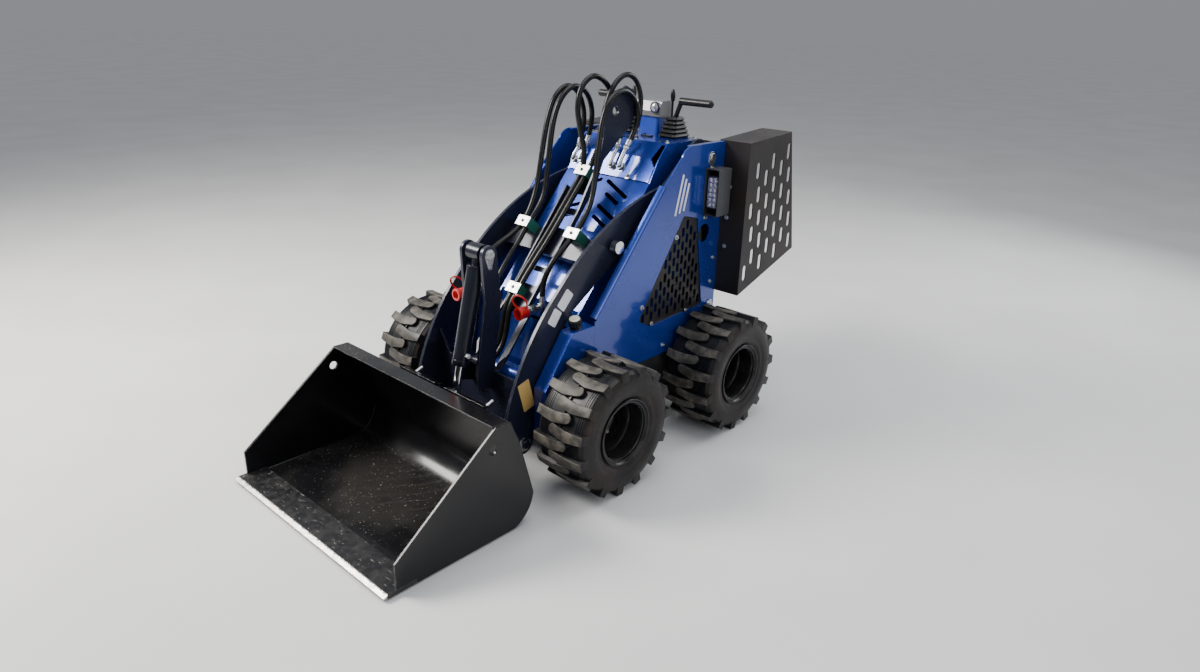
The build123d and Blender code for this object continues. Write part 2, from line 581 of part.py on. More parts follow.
# Joysticks: bellows boot, lever with its oval knob, stem and level grip
BOOT_Y = 110.0
BOOT_H = 76.0
PLEATS = 5
PLEAT_OUT = 7.0      # from a valley to a ridge, on each side
BOOT_BASE, BOOT_TOP = (94.0, 70.0), (44.0, 38.0)
KNOB_Y, KNOB_R, KNOB_L = 96.0, 9.0, 46.0
KNOB_Z = DECK_Z + 134
GRIP_R, GRIP_L = 14.0, 146.0
for name, sign in SIDES:
    with BuildPart() as joystick:
        for pleat in range(PLEATS):
            valley = [base + (top - base) * pleat / PLEATS for base, top in zip(BOOT_BASE, BOOT_TOP)]
            level = POD_Z + BOOT_H * pleat / PLEATS
            rise = BOOT_H / PLEATS / 2
            for start, step in ((0, 1), (2, -1)):
                with BuildSketch(Plane.XY.offset(level + start * rise)):
                    with Locations((CONTROL_X, sign * BOOT_Y)):
                        RectangleRounded(valley[0], valley[1], 9)
                with BuildSketch(Plane.XY.offset(level + rise)):
                    with Locations((CONTROL_X, sign * BOOT_Y)):
                        RectangleRounded(valley[0] + 2 * PLEAT_OUT, valley[1] + 2 * PLEAT_OUT, 14)
                loft()
        with BuildSketch(Plane(origin=(CONTROL_X, sign * 112, DECK_Z + 74), z_dir=(0, sign * 0.4, 1))):
            Circle(GRIP_R - 5)
        extrude(amount=66)
        with BuildSketch(Plane(origin=(CONTROL_X, sign * 134, DECK_Z + 139), z_dir=(0, sign, 0))):
            Circle(GRIP_R)
        extrude(amount=GRIP_L)
        fillet(edges().group_by(Axis.Y)[-1 if sign > 0 else 0], GRIP_R - 6)
        with BuildSketch(Plane.XY.offset(DECK_Z + 74)):
            with Locations((CONTROL_X, sign * KNOB_Y)):
                Circle(4)
        extrude(amount=KNOB_Z + 2 - DECK_Z - 74)
        with BuildSketch(Plane.XZ.offset(-sign * KNOB_Y)):
            with BuildLine():
                k1 = Line((CONTROL_X, KNOB_Z + KNOB_L), (CONTROL_X, KNOB_Z))
                k2 = Line(k1 @ 1, (CONTROL_X + KNOB_R - 3, KNOB_Z + 2))
                k3 = ThreePointArc(k2 @ 1, (CONTROL_X + KNOB_R, KNOB_Z + 28), (CONTROL_X + 5, KNOB_Z + KNOB_L - 2))
                Line(k3 @ 1, k1 @ 0)
            make_face()
        revolve(axis=Axis((CONTROL_X, sign * KNOB_Y, 0), (0, 0, 1)))
    save(joystick, f"joystick_{name}")

# Platform the operator stands on, with rows of grip slots
PLATFORM_T = 6.0
PLATFORM_SLOT_L = 60.0
with BuildPart() as platform:
    with BuildSketch(Plane.XY.offset(PLATFORM_Z)):
        with Locations(((PLATFORM_REAR_X + PLATFORM_FRONT_X) / 2, 0)):
            Rectangle(PLATFORM_FRONT_X - PLATFORM_REAR_X, 2 * PLATFORM_HALF)
            with GridLocations(PLATFORM_SLOT_L + 20, 60, 3, 8):
                SlotOverall(PLATFORM_SLOT_L, 14, mode=Mode.SUBTRACT)
    extrude(amount=PLATFORM_T)
    for name, sign in SIDES:
        with BuildSketch(side_plane(sign, 190, 200)):
            with BuildLine():
                Polyline((PLATFORM_REAR_X + 40, PLATFORM_Z), (PLATFORM_REAR_X + 40, PLATFORM_Z - 20),
                         (FRAME_REAR_X, PLATFORM_Z - 45), (FRAME_REAR_X, PLATFORM_Z + 45),
                         (PLATFORM_FRONT_X, PLATFORM_Z), close=True)
            make_face()
        extrude(amount=10)
save(platform, "platform")

# Boom arms: two curved plates
for name, sign in SIDES:
    with BuildPart() as arm:
        with BuildSketch(side_plane(sign, ARM_Y - ARM_T, ARM_Y)):
            with BuildLine():
                f1 = Line((PIVOT_X + 15, PIVOT_Z + BOSS_R - 2), (-338, 931))
                f2 = ThreePointArc(f1 @ 1, (0, 808), (190, 655))
                f3 = ThreePointArc(f2 @ 1, (370, 416), (430, 263))
                f4 = Line(f3 @ 1, (FOOT_X + FOOT_R, FOOT_Z + 10))
                f5 = Line(f4 @ 1, (FOOT_X - FOOT_R, FOOT_Z - 5))
                f6 = Line(f5 @ 1, (279, 321))
                f7 = ThreePointArc(f6 @ 1, (215, 452), (126, 566))
                f8 = ThreePointArc(f7 @ 1, (-60, 681), (-280, 796))
                f9 = Line(f8 @ 1, (PIVOT_X - 15, PIVOT_Z - BOSS_R + 2))
                Line(f9 @ 1, f1 @ 0)
            make_face()
            with Locations((PIVOT_X, PIVOT_Z)):
                Circle(BOSS_R)
            with Locations((FOOT_X, FOOT_Z)):
                Circle(FOOT_R)
            with Locations((PIVOT_X, PIVOT_Z)):
                Circle(PIVOT_R + PIN_GAP, mode=Mode.SUBTRACT)
            with Locations((FOOT_X, FOOT_Z)):
                Circle(FOOT_PIN_R + PIN_GAP, mode=Mode.SUBTRACT)
        extrude(amount=ARM_T)
    save(arm, f"arm_{name}")

# The hose tray's own frame: s runs up the slope, n points away from the hood
ARM_IN = ARM_Y - ARM_T
TRAY_LOW_X, TRAY_LOW_Z = 343.0, 326.0
TRAY_TOP_X, TRAY_TOP_Z = -146.0, 916.0
TRAY_LEN = hypot(TRAY_TOP_X - TRAY_LOW_X, TRAY_TOP_Z - TRAY_LOW_Z)
TRAY_UX = (TRAY_TOP_X - TRAY_LOW_X) / TRAY_LEN
TRAY_UZ = (TRAY_TOP_Z - TRAY_LOW_Z) / TRAY_LEN
TRAY_HALF = 60.0
TRAY_WALL = 6.0
TRAY_DEPTH = 20.0
TRAY_BED_T = 4.0
TRAY_OPEN_S = 258.0
BAR_S0, BAR_S1 = 34.0, 276.0
BAR_IN_Y, BAR_OUT_Y = 58.0, 84.0
TONGUE_HALF, TONGUE_S = 34.0, 846.0
KNEE_S0, KNEE_S1 = 497.0, 587.0


def on_tray(s, n=0.0):
    """X, Z of a point s up the tray's slope and n outside its flange edges."""
    return (TRAY_LOW_X + TRAY_UX * s + TRAY_UZ * n, TRAY_LOW_Z + TRAY_UZ * s - TRAY_UX * n)


# Knee cross member: a channel between the arms under the tray
with BuildPart() as knee_member:
    with BuildSketch(Plane.XZ.offset(-ARM_IN)):
        with BuildLine():
            Polyline(on_tray(KNEE_S0, -TRAY_DEPTH), on_tray(KNEE_S1, -TRAY_DEPTH), on_tray(KNEE_S1, -60),
                     on_tray(KNEE_S1 - 8, -60), on_tray(KNEE_S1 - 8, -TRAY_DEPTH - 8),
                     on_tray(KNEE_S0 + 8, -TRAY_DEPTH - 8), on_tray(KNEE_S0 + 8, -60), on_tray(KNEE_S0, -60),
                     close=True)
        make_face()
    extrude(amount=2 * ARM_IN)
save(knee_member, "knee_member")

# Lower cross plate between the arms, with a gusset at each arm
CROSS_X0, CROSS_X1 = 318.0, 326.0
CROSS_Z0, CROSS_Z1 = 172.0, 345.0
GUSSET_W, GUSSET_H = 50.0, 75.0
with BuildPart() as lower_member:
    with BuildSketch(Plane.XZ.offset(-ARM_IN)):
        with BuildLine():
            Polyline((CROSS_X0, CROSS_Z0), (CROSS_X1, CROSS_Z0), (CROSS_X1, CROSS_Z1), (CROSS_X0, CROSS_Z1),
                     close=True)
        make_face()
    extrude(amount=2 * ARM_IN)
    for name, sign in SIDES:
        with BuildSketch(Plane.YZ.offset(CROSS_X0)):
            with BuildLine():
                Polyline((sign * ARM_IN, CROSS_Z1), (sign * (ARM_IN - GUSSET_W), CROSS_Z1),
                         (sign * ARM_IN, CROSS_Z1 + GUSSET_H), close=True)
            make_face()
        extrude(amount=CROSS_X1 - CROSS_X0)
save(lower_member, "lower_member")

# Tilt bracket: two tall plates that carry the tilt cylinder's upper eye
with BuildPart() as tilt_bracket:
    for name, sign in SIDES:
        with BuildSketch(side_plane(sign, BRACKET_Y - BRACKET_T, BRACKET_Y)):
            with BuildLine():
                Polyline((TILT_TOP_X - 32, TILT_TOP_Z), (TILT_TOP_X + 32, TILT_TOP_Z), (352, 600),
                         (394, 345), (392, 300), (CROSS_X1, 280), (CROSS_X1, CROSS_Z1), (CROSS_X0, CROSS_Z1),
                         (282, 600), close=True)
            make_face()
            with Locations((TILT_TOP_X, TILT_TOP_Z)):
                Circle(32)
        extrude(amount=BRACKET_T)
    with BuildSketch(Plane.XZ.offset(-BRACKET_Y)):
        with Locations((TILT_TOP_X, TILT_TOP_Z)):
            Circle(TILT_PIN_R)
    extrude(amount=2 * BRACKET_Y)
    with BuildSketch(Plane.XZ.offset(-BRACKET_Y)):
        with Locations((BRACE_X, BRACE_Z)):
            Circle(BRACE_R)
    extrude(amount=2 * BRACKET_Y)
save(tilt_bracket, "tilt_bracket")

# Centre tray: the straight hose channel, its two lower bars and the fin with an eye
tray_plane = Plane(origin=(TRAY_LOW_X, 0, TRAY_LOW_Z), x_dir=(TRAY_UX, 0, TRAY_UZ),
                   z_dir=(TRAY_UZ, 0, -TRAY_UX))
TRAY_WINDOWS = [(365, 420), (440, 490), (600, 660), (685, 745)]   # start and end up the tray
WINDOW_HALF = 38.0
FIN_IN_Y, FIN_OUT_Y = TRAY_HALF - 8, TRAY_HALF
FIN_EYE_X, FIN_EYE_Z = -274.0, 1181.0
with BuildPart() as centre_tray:
    for name, sign in SIDES:
        with BuildSketch(side_plane(sign, TRAY_HALF - TRAY_WALL, TRAY_HALF)):
            with BuildLine():
                Polyline(on_tray(TRAY_OPEN_S), on_tray(TRAY_LEN), on_tray(TRAY_LEN, -TRAY_DEPTH),
                         on_tray(TRAY_OPEN_S, -TRAY_DEPTH), close=True)
            make_face()
        extrude(amount=TRAY_WALL)
        with BuildSketch(side_plane(sign, BAR_IN_Y, BAR_OUT_Y)):
            with BuildLine():
                Polyline(on_tray(BAR_S0, -2), on_tray(BAR_S1, -2), on_tray(BAR_S1, -10), on_tray(BAR_S0, -10),
                         close=True)
            make_face()
        extrude(amount=BAR_OUT_Y - BAR_IN_Y)
    with BuildSketch(Plane.XZ.offset(-TRAY_HALF)):
        with BuildLine():
            Polyline(on_tray(TRAY_OPEN_S, -TRAY_DEPTH + TRAY_BED_T),
                     on_tray(TRAY_LEN, -TRAY_DEPTH + TRAY_BED_T),
                     on_tray(TRAY_LEN, -TRAY_DEPTH), on_tray(TRAY_OPEN_S, -TRAY_DEPTH), close=True)
        make_face()
    extrude(amount=2 * TRAY_HALF)
    for start_s, end_s in TRAY_WINDOWS:
        with BuildSketch(tray_plane.offset(-TRAY_DEPTH - TRAY_BED_T)):
            with Locations(((start_s + end_s) / 2, 0)):
                RectangleRounded(end_s - start_s, 2 * WINDOW_HALF, 8)
        extrude(amount=3 * TRAY_BED_T, mode=Mode.SUBTRACT)
    with BuildSketch(Plane.XZ.offset(-TONGUE_HALF)):
        with BuildLine():
            Polyline(on_tray(TRAY_LEN, -TRAY_DEPTH + TRAY_BED_T), on_tray(TONGUE_S, -TRAY_DEPTH + TRAY_BED_T),
                     on_tray(TONGUE_S, -TRAY_DEPTH), on_tray(TRAY_LEN, -TRAY_DEPTH), close=True)
        make_face()
    extrude(amount=2 * TONGUE_HALF)
    with BuildSketch(side_plane(1, FIN_IN_Y, FIN_OUT_Y)):
        with BuildLine():
            Polyline(on_tray(TRAY_LEN - 90), (-190, 1010), (-212, 1090), (-218, 1180), (-240, 1222),
                     (-328, 1266), (-372, 1248), (-388, 1205), (-386, 1172), (-358, 1122), (-297, 1078), (-215, 1010),
                     on_tray(TRAY_LEN + 20, -TRAY_DEPTH), on_tray(TRAY_LEN - 90, -TRAY_DEPTH), close=True)
        make_face()
        with Locations((FIN_EYE_X, FIN_EYE_Z)):
            Circle(17, mode=Mode.SUBTRACT)
    extrude(amount=FIN_OUT_Y - FIN_IN_Y)
save(centre_tray, "centre_tray")

# Couplers for an attachment's hoses, with their red caps and the boom's hose ends
COUPLERS = [  # side, y, x rear, z, z of the hose's end
    (1, 100.0, 118.0, 545.0, 584.0),
    (-1, -170.0, 168.0, 560.0, 596.0),
]
COUPLER_L = 92.0
CUP_R, CUP_L, CUP_DEPTH = 21.0, 38.0, 24.0
with BuildPart() as couplers:
    for sign, y, x, z, hose_z in COUPLERS:
        with BuildSketch(Plane.YZ.offset(x)):
            with Locations((y, z)):
                Circle(12)
        extrude(amount=COUPLER_L)
        for collar_x, collar_l, collar_r in ((10, 18, 15), (50, 22, 17)):
            with BuildSketch(Plane.YZ.offset(x + collar_x)):
                with Locations((y, z)):
                    RegularPolygon(collar_r, 6)
            extrude(amount=collar_l)
        with BuildSketch(Plane.XY.offset(z)):
            with Locations((x + 12, y)):
                Circle(11)
        extrude(amount=hose_z - z)
        reach_in, reach_out = (BAR_OUT_Y, 90.0) if sign > 0 else (182.0, ARM_IN)
        with BuildSketch(side_plane(sign, reach_in, reach_out)):
            with Locations((x + 50, z - 6)):
                Rectangle(30, 6)
        extrude(amount=reach_out - reach_in)
save(couplers, "couplers")
with BuildPart() as coupler_caps:
    for sign, y, x, z, hose_z in COUPLERS:
        with BuildSketch(Plane.YZ.offset(x + COUPLER_L)):
            with Locations((y, z)):
                Circle(CUP_R)
        extrude(amount=CUP_L)
        with BuildSketch(Plane.YZ.offset(x + COUPLER_L + CUP_L - CUP_DEPTH)):
            with Locations((y, z)):
                Circle(CUP_R - 6)
        extrude(amount=CUP_DEPTH, mode=Mode.SUBTRACT)
save(coupler_caps, "coupler_caps")

# Lift cylinders, between the arms and the side panels
lift_base = (LIFT_BASE_X, LIFT_BASE_Z)
lift_eye = (LIFT_EYE_X, LIFT_EYE_Z)
lift_len = hypot(lift_eye[0] - lift_base[0], lift_eye[1] - lift_base[1])
for name, sign in SIDES:
    y = sign * LIFT_Y
    with BuildPart() as lift_barrel:
        with BuildSketch(cylinder_plane(along(lift_base, lift_eye, LIFT_BASE_R - 4), lift_eye, y)):
            Circle(LIFT_BARREL_R)
        extrude(amount=LIFT_BARREL_L - LIFT_BASE_R + 4)
        with BuildSketch(Plane.XZ.offset(-y - LIFT_BARREL_R)):
            with Locations(lift_base):
                Circle(LIFT_BASE_R)
        extrude(amount=2 * LIFT_BARREL_R)
        bore_start = along(lift_base, lift_eye, LIFT_ROD_START - 4)
        with BuildSketch(cylinder_plane(bore_start, lift_eye, y)):
            Circle(LIFT_ROD_R + PIN_GAP)
        extrude(amount=LIFT_BARREL_L, mode=Mode.SUBTRACT)
        with BuildSketch(Plane.XZ.offset(-y - LIFT_BARREL_R)):
            with Locations(lift_base):
                Circle(LIFT_PIN_R + PIN_GAP)
        extrude(amount=2 * LIFT_BARREL_R, mode=Mode.SUBTRACT)
    save(lift_barrel, f"lift_barrel_{name}")

    rod_start = along(lift_base, lift_eye, LIFT_ROD_START)
    with BuildPart() as lift_rod:
        with BuildSketch(cylinder_plane(rod_start, lift_eye, y)):
            Circle(LIFT_ROD_R)
        extrude(amount=lift_len - LIFT_ROD_START)
        with BuildSketch(Plane.XZ.offset(-y - LIFT_EYE_W / 2)):
            with Locations(lift_eye):
                Circle(LIFT_EYE_R)
        extrude(amount=LIFT_EYE_W)
    save(lift_rod, f"lift_rod_{name}")

# Tilt cylinder in the middle, from the bracket to the attach plate
tilt_top = (TILT_TOP_X, TILT_TOP_Z)
tilt_eye = (TILT_EYE_X, TILT_EYE_Z)
tilt_len = hypot(tilt_eye[0] - tilt_top[0], tilt_eye[1] - tilt_top[1])
with BuildPart() as tilt_barrel:
    with BuildSketch(cylinder_plane(along(tilt_top, tilt_eye, 44), tilt_eye, 0)):
        Circle(TILT_BARREL_R)
    extrude(amount=TILT_BARREL_L - 44)
    with BuildSketch(cylinder_plane(along(tilt_top, tilt_eye, 20), tilt_eye, 0)):
        Circle(16)
    extrude(amount=30)
    with BuildSketch(Plane.XZ.offset(-30)):
        with Locations(tilt_top):
            Circle(30)
    extrude(amount=60)
    with BuildSketch(cylinder_plane(along(tilt_top, tilt_eye, TILT_ROD_START - 54), tilt_eye, 0)):
        Circle(TILT_ROD_R + PIN_GAP)
    extrude(amount=TILT_BARREL_L, mode=Mode.SUBTRACT)
    with BuildSketch(Plane.XZ.offset(-30)):
        with Locations(tilt_top):
            Circle(TILT_PIN_R + PIN_GAP)
    extrude(amount=60, mode=Mode.SUBTRACT)
save(tilt_barrel, "tilt_barrel")

with BuildPart() as tilt_rod:
    with BuildSketch(cylinder_plane(along(tilt_top, tilt_eye, TILT_ROD_START), tilt_eye, 0)):
        Circle(TILT_ROD_R)
    extrude(amount=tilt_len - TILT_ROD_START)
    with BuildSketch(Plane.XZ.offset(-TILT_EYE_W / 2)):
        with Locations(tilt_eye):
            Circle(TILT_EYE_R)
    extrude(amount=TILT_EYE_W)
save(tilt_rod, "tilt_rod")

# Attach plate: ears on the arms' lower pins, a face plate and lugs beside the rod's eye
with BuildPart() as attach_plate:
    for name, sign in SIDES:
        with BuildSketch(side_plane(sign, 60, PLATE_HALF)):
            with BuildLine():
                Polyline((495, 318), (503, 318), (470, 110), (462, 110), close=True)
            make_face()
        extrude(amount=PLATE_HALF - 60)
        with BuildSketch(side_plane(sign, PLATE_HALF - 12, PLATE_HALF)):
            with BuildLine():
                Polyline((FOOT_X, FOOT_Z + 34), (430, 262), (486, 270), (466, 110), (FOOT_X, FOOT_Z - 34),
                         close=True)
            make_face()
            with Locations((FOOT_X, FOOT_Z)):
                Circle(34)
        extrude(amount=12)
        with BuildSketch(side_plane(sign, LUG_IN_Y, LUG_IN_Y + LUG_T)):
            with BuildLine():
                Polyline((TILT_EYE_X, TILT_EYE_Z + 24), (494, 290), (470, 128), (TILT_EYE_X, TILT_EYE_Z - 24),
                         close=True)
            make_face()
            with Locations((TILT_EYE_X, TILT_EYE_Z)):
                Circle(24)
        extrude(amount=LUG_T)
        with BuildSketch(side_plane(sign, LUG_IN_Y, 60)):
            with BuildLine():
                Polyline((495, 318), (503, 318), (470, 110), (462, 110), close=True)
            make_face()
        extrude(amount=60 - LUG_IN_Y)
        with BuildSketch(side_plane(sign, PLATE_HALF, ARM_Y + 14)):
            with Locations((FOOT_X, FOOT_Z)):
                Circle(FOOT_PIN_R)
        extrude(amount=ARM_Y + 14 - PLATE_HALF)
    with BuildSketch(Plane.XZ.offset(-PLATE_HALF)):
        with BuildLine():
            Polyline((454, 126), (473, 126), (470, 110), (452, 110), close=True)
        make_face()
    extrude(amount=2 * PLATE_HALF)
save(attach_plate, "attach_plate")

# Lock pins: the bent handles that hold the bucket on the attach plate
LOCK_Y = 191.0
with BuildPart() as lock_pins:
    for name, sign in SIDES:
        with BuildSketch(Plane(origin=(491, sign * LOCK_Y, 300), x_dir=(0, 1, 0), z_dir=(-46, 0, 17))):
            Circle(6)
        extrude(amount=52)
save(lock_pins, "lock_pins")

# Bucket: bent shell, two side plates and the cutting edge
with BuildPart() as bucket_shell:
    with BuildSketch(Plane.XZ.offset(-BUCKET_HALF + SIDE_T)):
        with BuildLine():
            b1 = Line((EDGE_X - EDGE_W, BUCKET_FLOOR_Z), (572, BUCKET_FLOOR_Z))
            b2 = ThreePointArc(b1 @ 1, (519, 42), (492, 106))
            b3 = Polyline(b2 @ 1, (550, 310), (583, 382), (646, 386),
                          (646, 381), (587, 377), (555, 308), (497, 107))
            b4 = ThreePointArc(b3 @ 1, (523.5, 46), (574, BUCKET_FLOOR_Z + BUCKET_T))
            Polyline(b4 @ 1, (EDGE_X - EDGE_W, BUCKET_FLOOR_Z + BUCKET_T), b1 @ 0)
        make_face()
    extrude(amount=2 * (BUCKET_HALF - SIDE_T))
    for name, sign in SIDES:
        with BuildSketch(side_plane(sign, BUCKET_HALF - SIDE_T, BUCKET_HALF)):
            with BuildLine():
                c1 = Polyline((572, BUCKET_FLOOR_Z), (EDGE_X - EDGE_W, BUCKET_FLOOR_Z),
                              (EDGE_X - EDGE_W, BUCKET_FLOOR_Z + EDGE_T), (1007, BUCKET_FLOOR_Z + EDGE_T),
                              (1007, 101), (639, 383), (583, 382), (550, 310), (492, 106))
                ThreePointArc(c1 @ 1, (519, 42), c1 @ 0)
            make_face()
            with Locations((SIDE_HOLE_X, SIDE_HOLE_Z)):
                Circle(SIDE_HOLE_R, mode=Mode.SUBTRACT)
        extrude(amount=SIDE_T)
    for name, sign in SIDES:
        for rib_y in MOUNT_RIB_Y:
            with BuildSketch(side_plane(sign, rib_y, rib_y + MOUNT_T)):
                with BuildLine():
                    Polyline((503 + SEAT_GAP, 318), (552, 318), (550, 310), (494, 112), (471, 112), close=True)
                make_face()
            extrude(amount=MOUNT_T)
        with BuildSketch(side_plane(sign, EYE_WAY, PLATE_HALF)):
            with BuildLine():
                Polyline((503 + SEAT_GAP, 318), (503 + SEAT_GAP, 321), (488, 318), (486, 324), (511, 334),
                         (513, 318), (480, 112), (471, 112), close=True)
            make_face()
        extrude(amount=PLATE_HALF - EYE_WAY)
save(bucket_shell, "bucket_shell")

with BuildPart() as cutting_edge:
    with BuildSketch(Plane.XZ.offset(-BUCKET_HALF)):
        with BuildLine():
            Polyline((EDGE_X - EDGE_W, BUCKET_FLOOR_Z), (EDGE_X - 16, BUCKET_FLOOR_Z),
                     (EDGE_X, BUCKET_FLOOR_Z + 5),
                     (EDGE_X, BUCKET_FLOOR_Z + 8), (EDGE_X - 16, BUCKET_FLOOR_Z + EDGE_T),
                     (EDGE_X - EDGE_W, BUCKET_FLOOR_Z + EDGE_T), close=True)
        make_face()
    extrude(amount=2 * BUCKET_HALF)
save(cutting_edge, "cutting_edge")

# Hoses: each route is a list of points from its boom end to the deck
HOSE_R = 10.0
HOSES = {
    "right_outer": [
        (180, -170, 596), (180, -170, 645), (158, -156, 690), (108, -146, 722), (52, -141, 746),
        (-1, -140, 777), (-48, -142, 838), (-82, -147, 910), (-104, -150, 1003), (-132, -151, 1130), (-172, -153, 1220),
        (-239, -155, 1262), (-306, -158, 1232), (-340, -162, 1170), (-350, -167, 1110), (-338, -172, 1054)],
    "right_inner": [
        (262, -90, 358), (226, -90, 392), (204, -91, 446), (196, -93, 508), (180, -98, 566), (146, -106, 622),
        (100, -112, 668), (48, -115, 718), (-1, -116, 777), (-52, -117, 824), (-94, -119, 880),
        (-115, -122, 1005), (-140, -125, 1144), (-182, -126, 1222), (-248, -127, 1261), (-316, -130, 1238),
        (-354, -134, 1182), (-364, -138, 1122), (-350, -142, 1066)],
    "centre_right": [
        (280, -34, 347), (237, -34, 374), (207, -35, 424), (192, -36, 484), (178, -36, 534), (140, -35, 581),
        (76, -28, 663), (-11, -20, 760), (-91, -13, 862), (-177, -9, 963), (-188, -8, 1034), (-162, -8, 1112),
        (-143, -8, 1190), (-158, -8, 1264), (-222, -8, 1306), (-286, -6, 1280), (-322, -2, 1232),
        (-354, 3, 1176), (-376, 7, 1120), (-357, 10, 1069)],
    "centre_left": [
        (280, -8, 347), (237, -8, 374), (207, -10, 424), (192, -13, 484), (178, -15, 534), (140, -15, 581),
        (76, -7, 663), (-11, 2, 760), (-91, 9, 862), (-177, 14, 963), (-220, 16, 1022), (-246, 16, 1100),
        (-262, 16, 1186), (-298, 18, 1262), (-362, 20, 1306), (-424, 22, 1288), (-454, 25, 1226),
        (-450, 29, 1162), (-424, 33, 1106)],
    "left": [
        (130, 100, 584), (130, 100, 622), (114, 107, 668), (90, 114, 710), (50, 119, 742), (4, 120, 776),
        (-50, 118, 824), (-96, 114, 884), (-120, 108, 962), (-142, 99, 1062), (-168, 91, 1166),
        (-216, 84, 1234), (-292, 78, 1258), (-352, 75, 1228), (-386, 72, 1176), (-384, 67, 1118),
        (-357, 61, 1070)],
}


def corner_radii(points):
    """Radius of each tangent arc: 0.45 of the shorter run over the tangent of half the turn."""
    radii = []
    for before, here, after in zip(points, points[1:], points[2:]):
        run_in = Vector(*here) - Vector(*before)
        run_out = Vector(*after) - Vector(*here)
        turn = radians(run_in.get_angle(run_out))
        radii.append(0.45 * min(run_in.length, run_out.length) / tan(turn / 2))
    return radii


for name, points in HOSES.items():
    radii = corner_radii(points)
    with BuildPart() as hose:
        with BuildLine():
            route = FilletPolyline(*points, radius=radii)
        with BuildSketch(Plane(origin=points[0], z_dir=route % 0)):
            Circle(HOSE_R)
        sweep(path=route)
    expected = pi * HOSE_R ** 2 * route.length
    print(f"hose {name}: length {route.length:.0f}, radii {[round(r) for r in radii]},"
          f" volume ratio {hose.part.volume / expected:.4f}")
    save(hose, f"hose_{name}")

# Hose clamps: a moulded block with a plated cover on each pair of hoses
CLAMP_W, CLAMP_L = 58.0, 38.0
CLAMPS = [  # s, n of the foot, n of the cover, y
    (326.0, -TRAY_DEPTH + TRAY_BED_T, 24.0, -24.0),
    (823.0, -TRAY_DEPTH + TRAY_BED_T, 24.0, 3.0),
    (572.0, -TRAY_DEPTH, 30.0, 120.0),
    (572.0, -TRAY_DEPTH, 30.0, -128.0),
]
with BuildPart() as hose_clamps:
    for s, low, high, y in CLAMPS:
        with BuildSketch(Plane.XZ.offset(-y - CLAMP_W / 2)):
            with BuildLine():
                Polyline(on_tray(s - CLAMP_L / 2, low), on_tray(s + CLAMP_L / 2, low),
                         on_tray(s + CLAMP_L / 2, high), on_tray(s - CLAMP_L / 2, high), close=True)
            make_face()
        extrude(amount=CLAMP_W)
    for points in HOSES.values():
        with BuildLine():
            route = FilletPolyline(*points, radius=corner_radii(points))
        with BuildSketch(Plane(origin=points[0], z_dir=route % 0)):
            Circle(HOSE_R + SEAT_GAP)
        sweep(path=route, mode=Mode.SUBTRACT)
save(hose_clamps, "hose_clamps")

# Hose ends on the deck: a base nut on the cowl, an elbow stem and a crimped sleeve
SLEEVE_R = 11.5
SLEEVE_L = 32.0
STEM_R = 8.0
NUT_R = 14.0
NUT_H = 23.0
face_x, face_z = COWL_LINE[1][0] - COWL_LINE[0][0], COWL_LINE[1][1] - COWL_LINE[0][1]
DECK_ENDS = [  # share of the way up the cowl's face, y, hose
    (0.42, 8, "centre_right"),
    (0.42, 53, "left"),
    (0.46, -150, "right_inner"),
    (0.40, -184, "right_outer"),
]
with BuildPart() as deck_fittings:
    seats = [((COWL_LINE[0][0] + t * face_x, y, COWL_LINE[0][1] + t * face_z), (face_z, 0, -face_x), hose_name)
             for t, y, hose_name in DECK_ENDS]
    seats.append(((-416, 34, DECK_Z + COWL_T), (0, 0, 1), "centre_left"))
    for seat, normal, hose_name in seats:
        end, before = Vector(*HOSES[hose_name][-1]), Vector(*HOSES[hose_name][-2])
        down = (end - before).normalized()
        with BuildSketch(Plane(origin=seat, z_dir=normal)):
            Circle(NUT_R)
        extrude(amount=NUT_H)
        elbow = Vector(*seat) + Vector(*normal).normalized() * (NUT_H - STEM_R)
        sleeve_l = min(SLEEVE_L, (elbow - end).length * 0.75)
        sleeve_end = end + down * (sleeve_l - 2)
        with BuildSketch(Plane(origin=elbow, z_dir=sleeve_end - elbow)):
            Circle(STEM_R)
        extrude(amount=(sleeve_end - elbow).length)
        with BuildSketch(Plane(origin=end, z_dir=down)):
            Circle(SLEEVE_R)
        extrude(amount=sleeve_l)
save(deck_fittings, "deck_fittings")

# Hose ends on the boom's lower cross plate
with BuildPart() as boom_fittings:
    for hose_name in ("right_inner", "centre_right", "centre_left"):
        end, before = Vector(*HOSES[hose_name][0]), Vector(*HOSES[hose_name][1])
        ahead = (end - before).normalized()
        with BuildSketch(Plane(origin=end, z_dir=ahead)):
            Circle(SLEEVE_R)
        extrude(amount=16)
        with BuildSketch(Plane(origin=end, z_dir=ahead)):
            Circle(STEM_R)
        extrude(until=Until.NEXT, target=lower_member.part)
save(boom_fittings, "boom_fittings")
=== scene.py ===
import bpy
import bmesh
import json
import math
from mathutils import Matrix, Vector


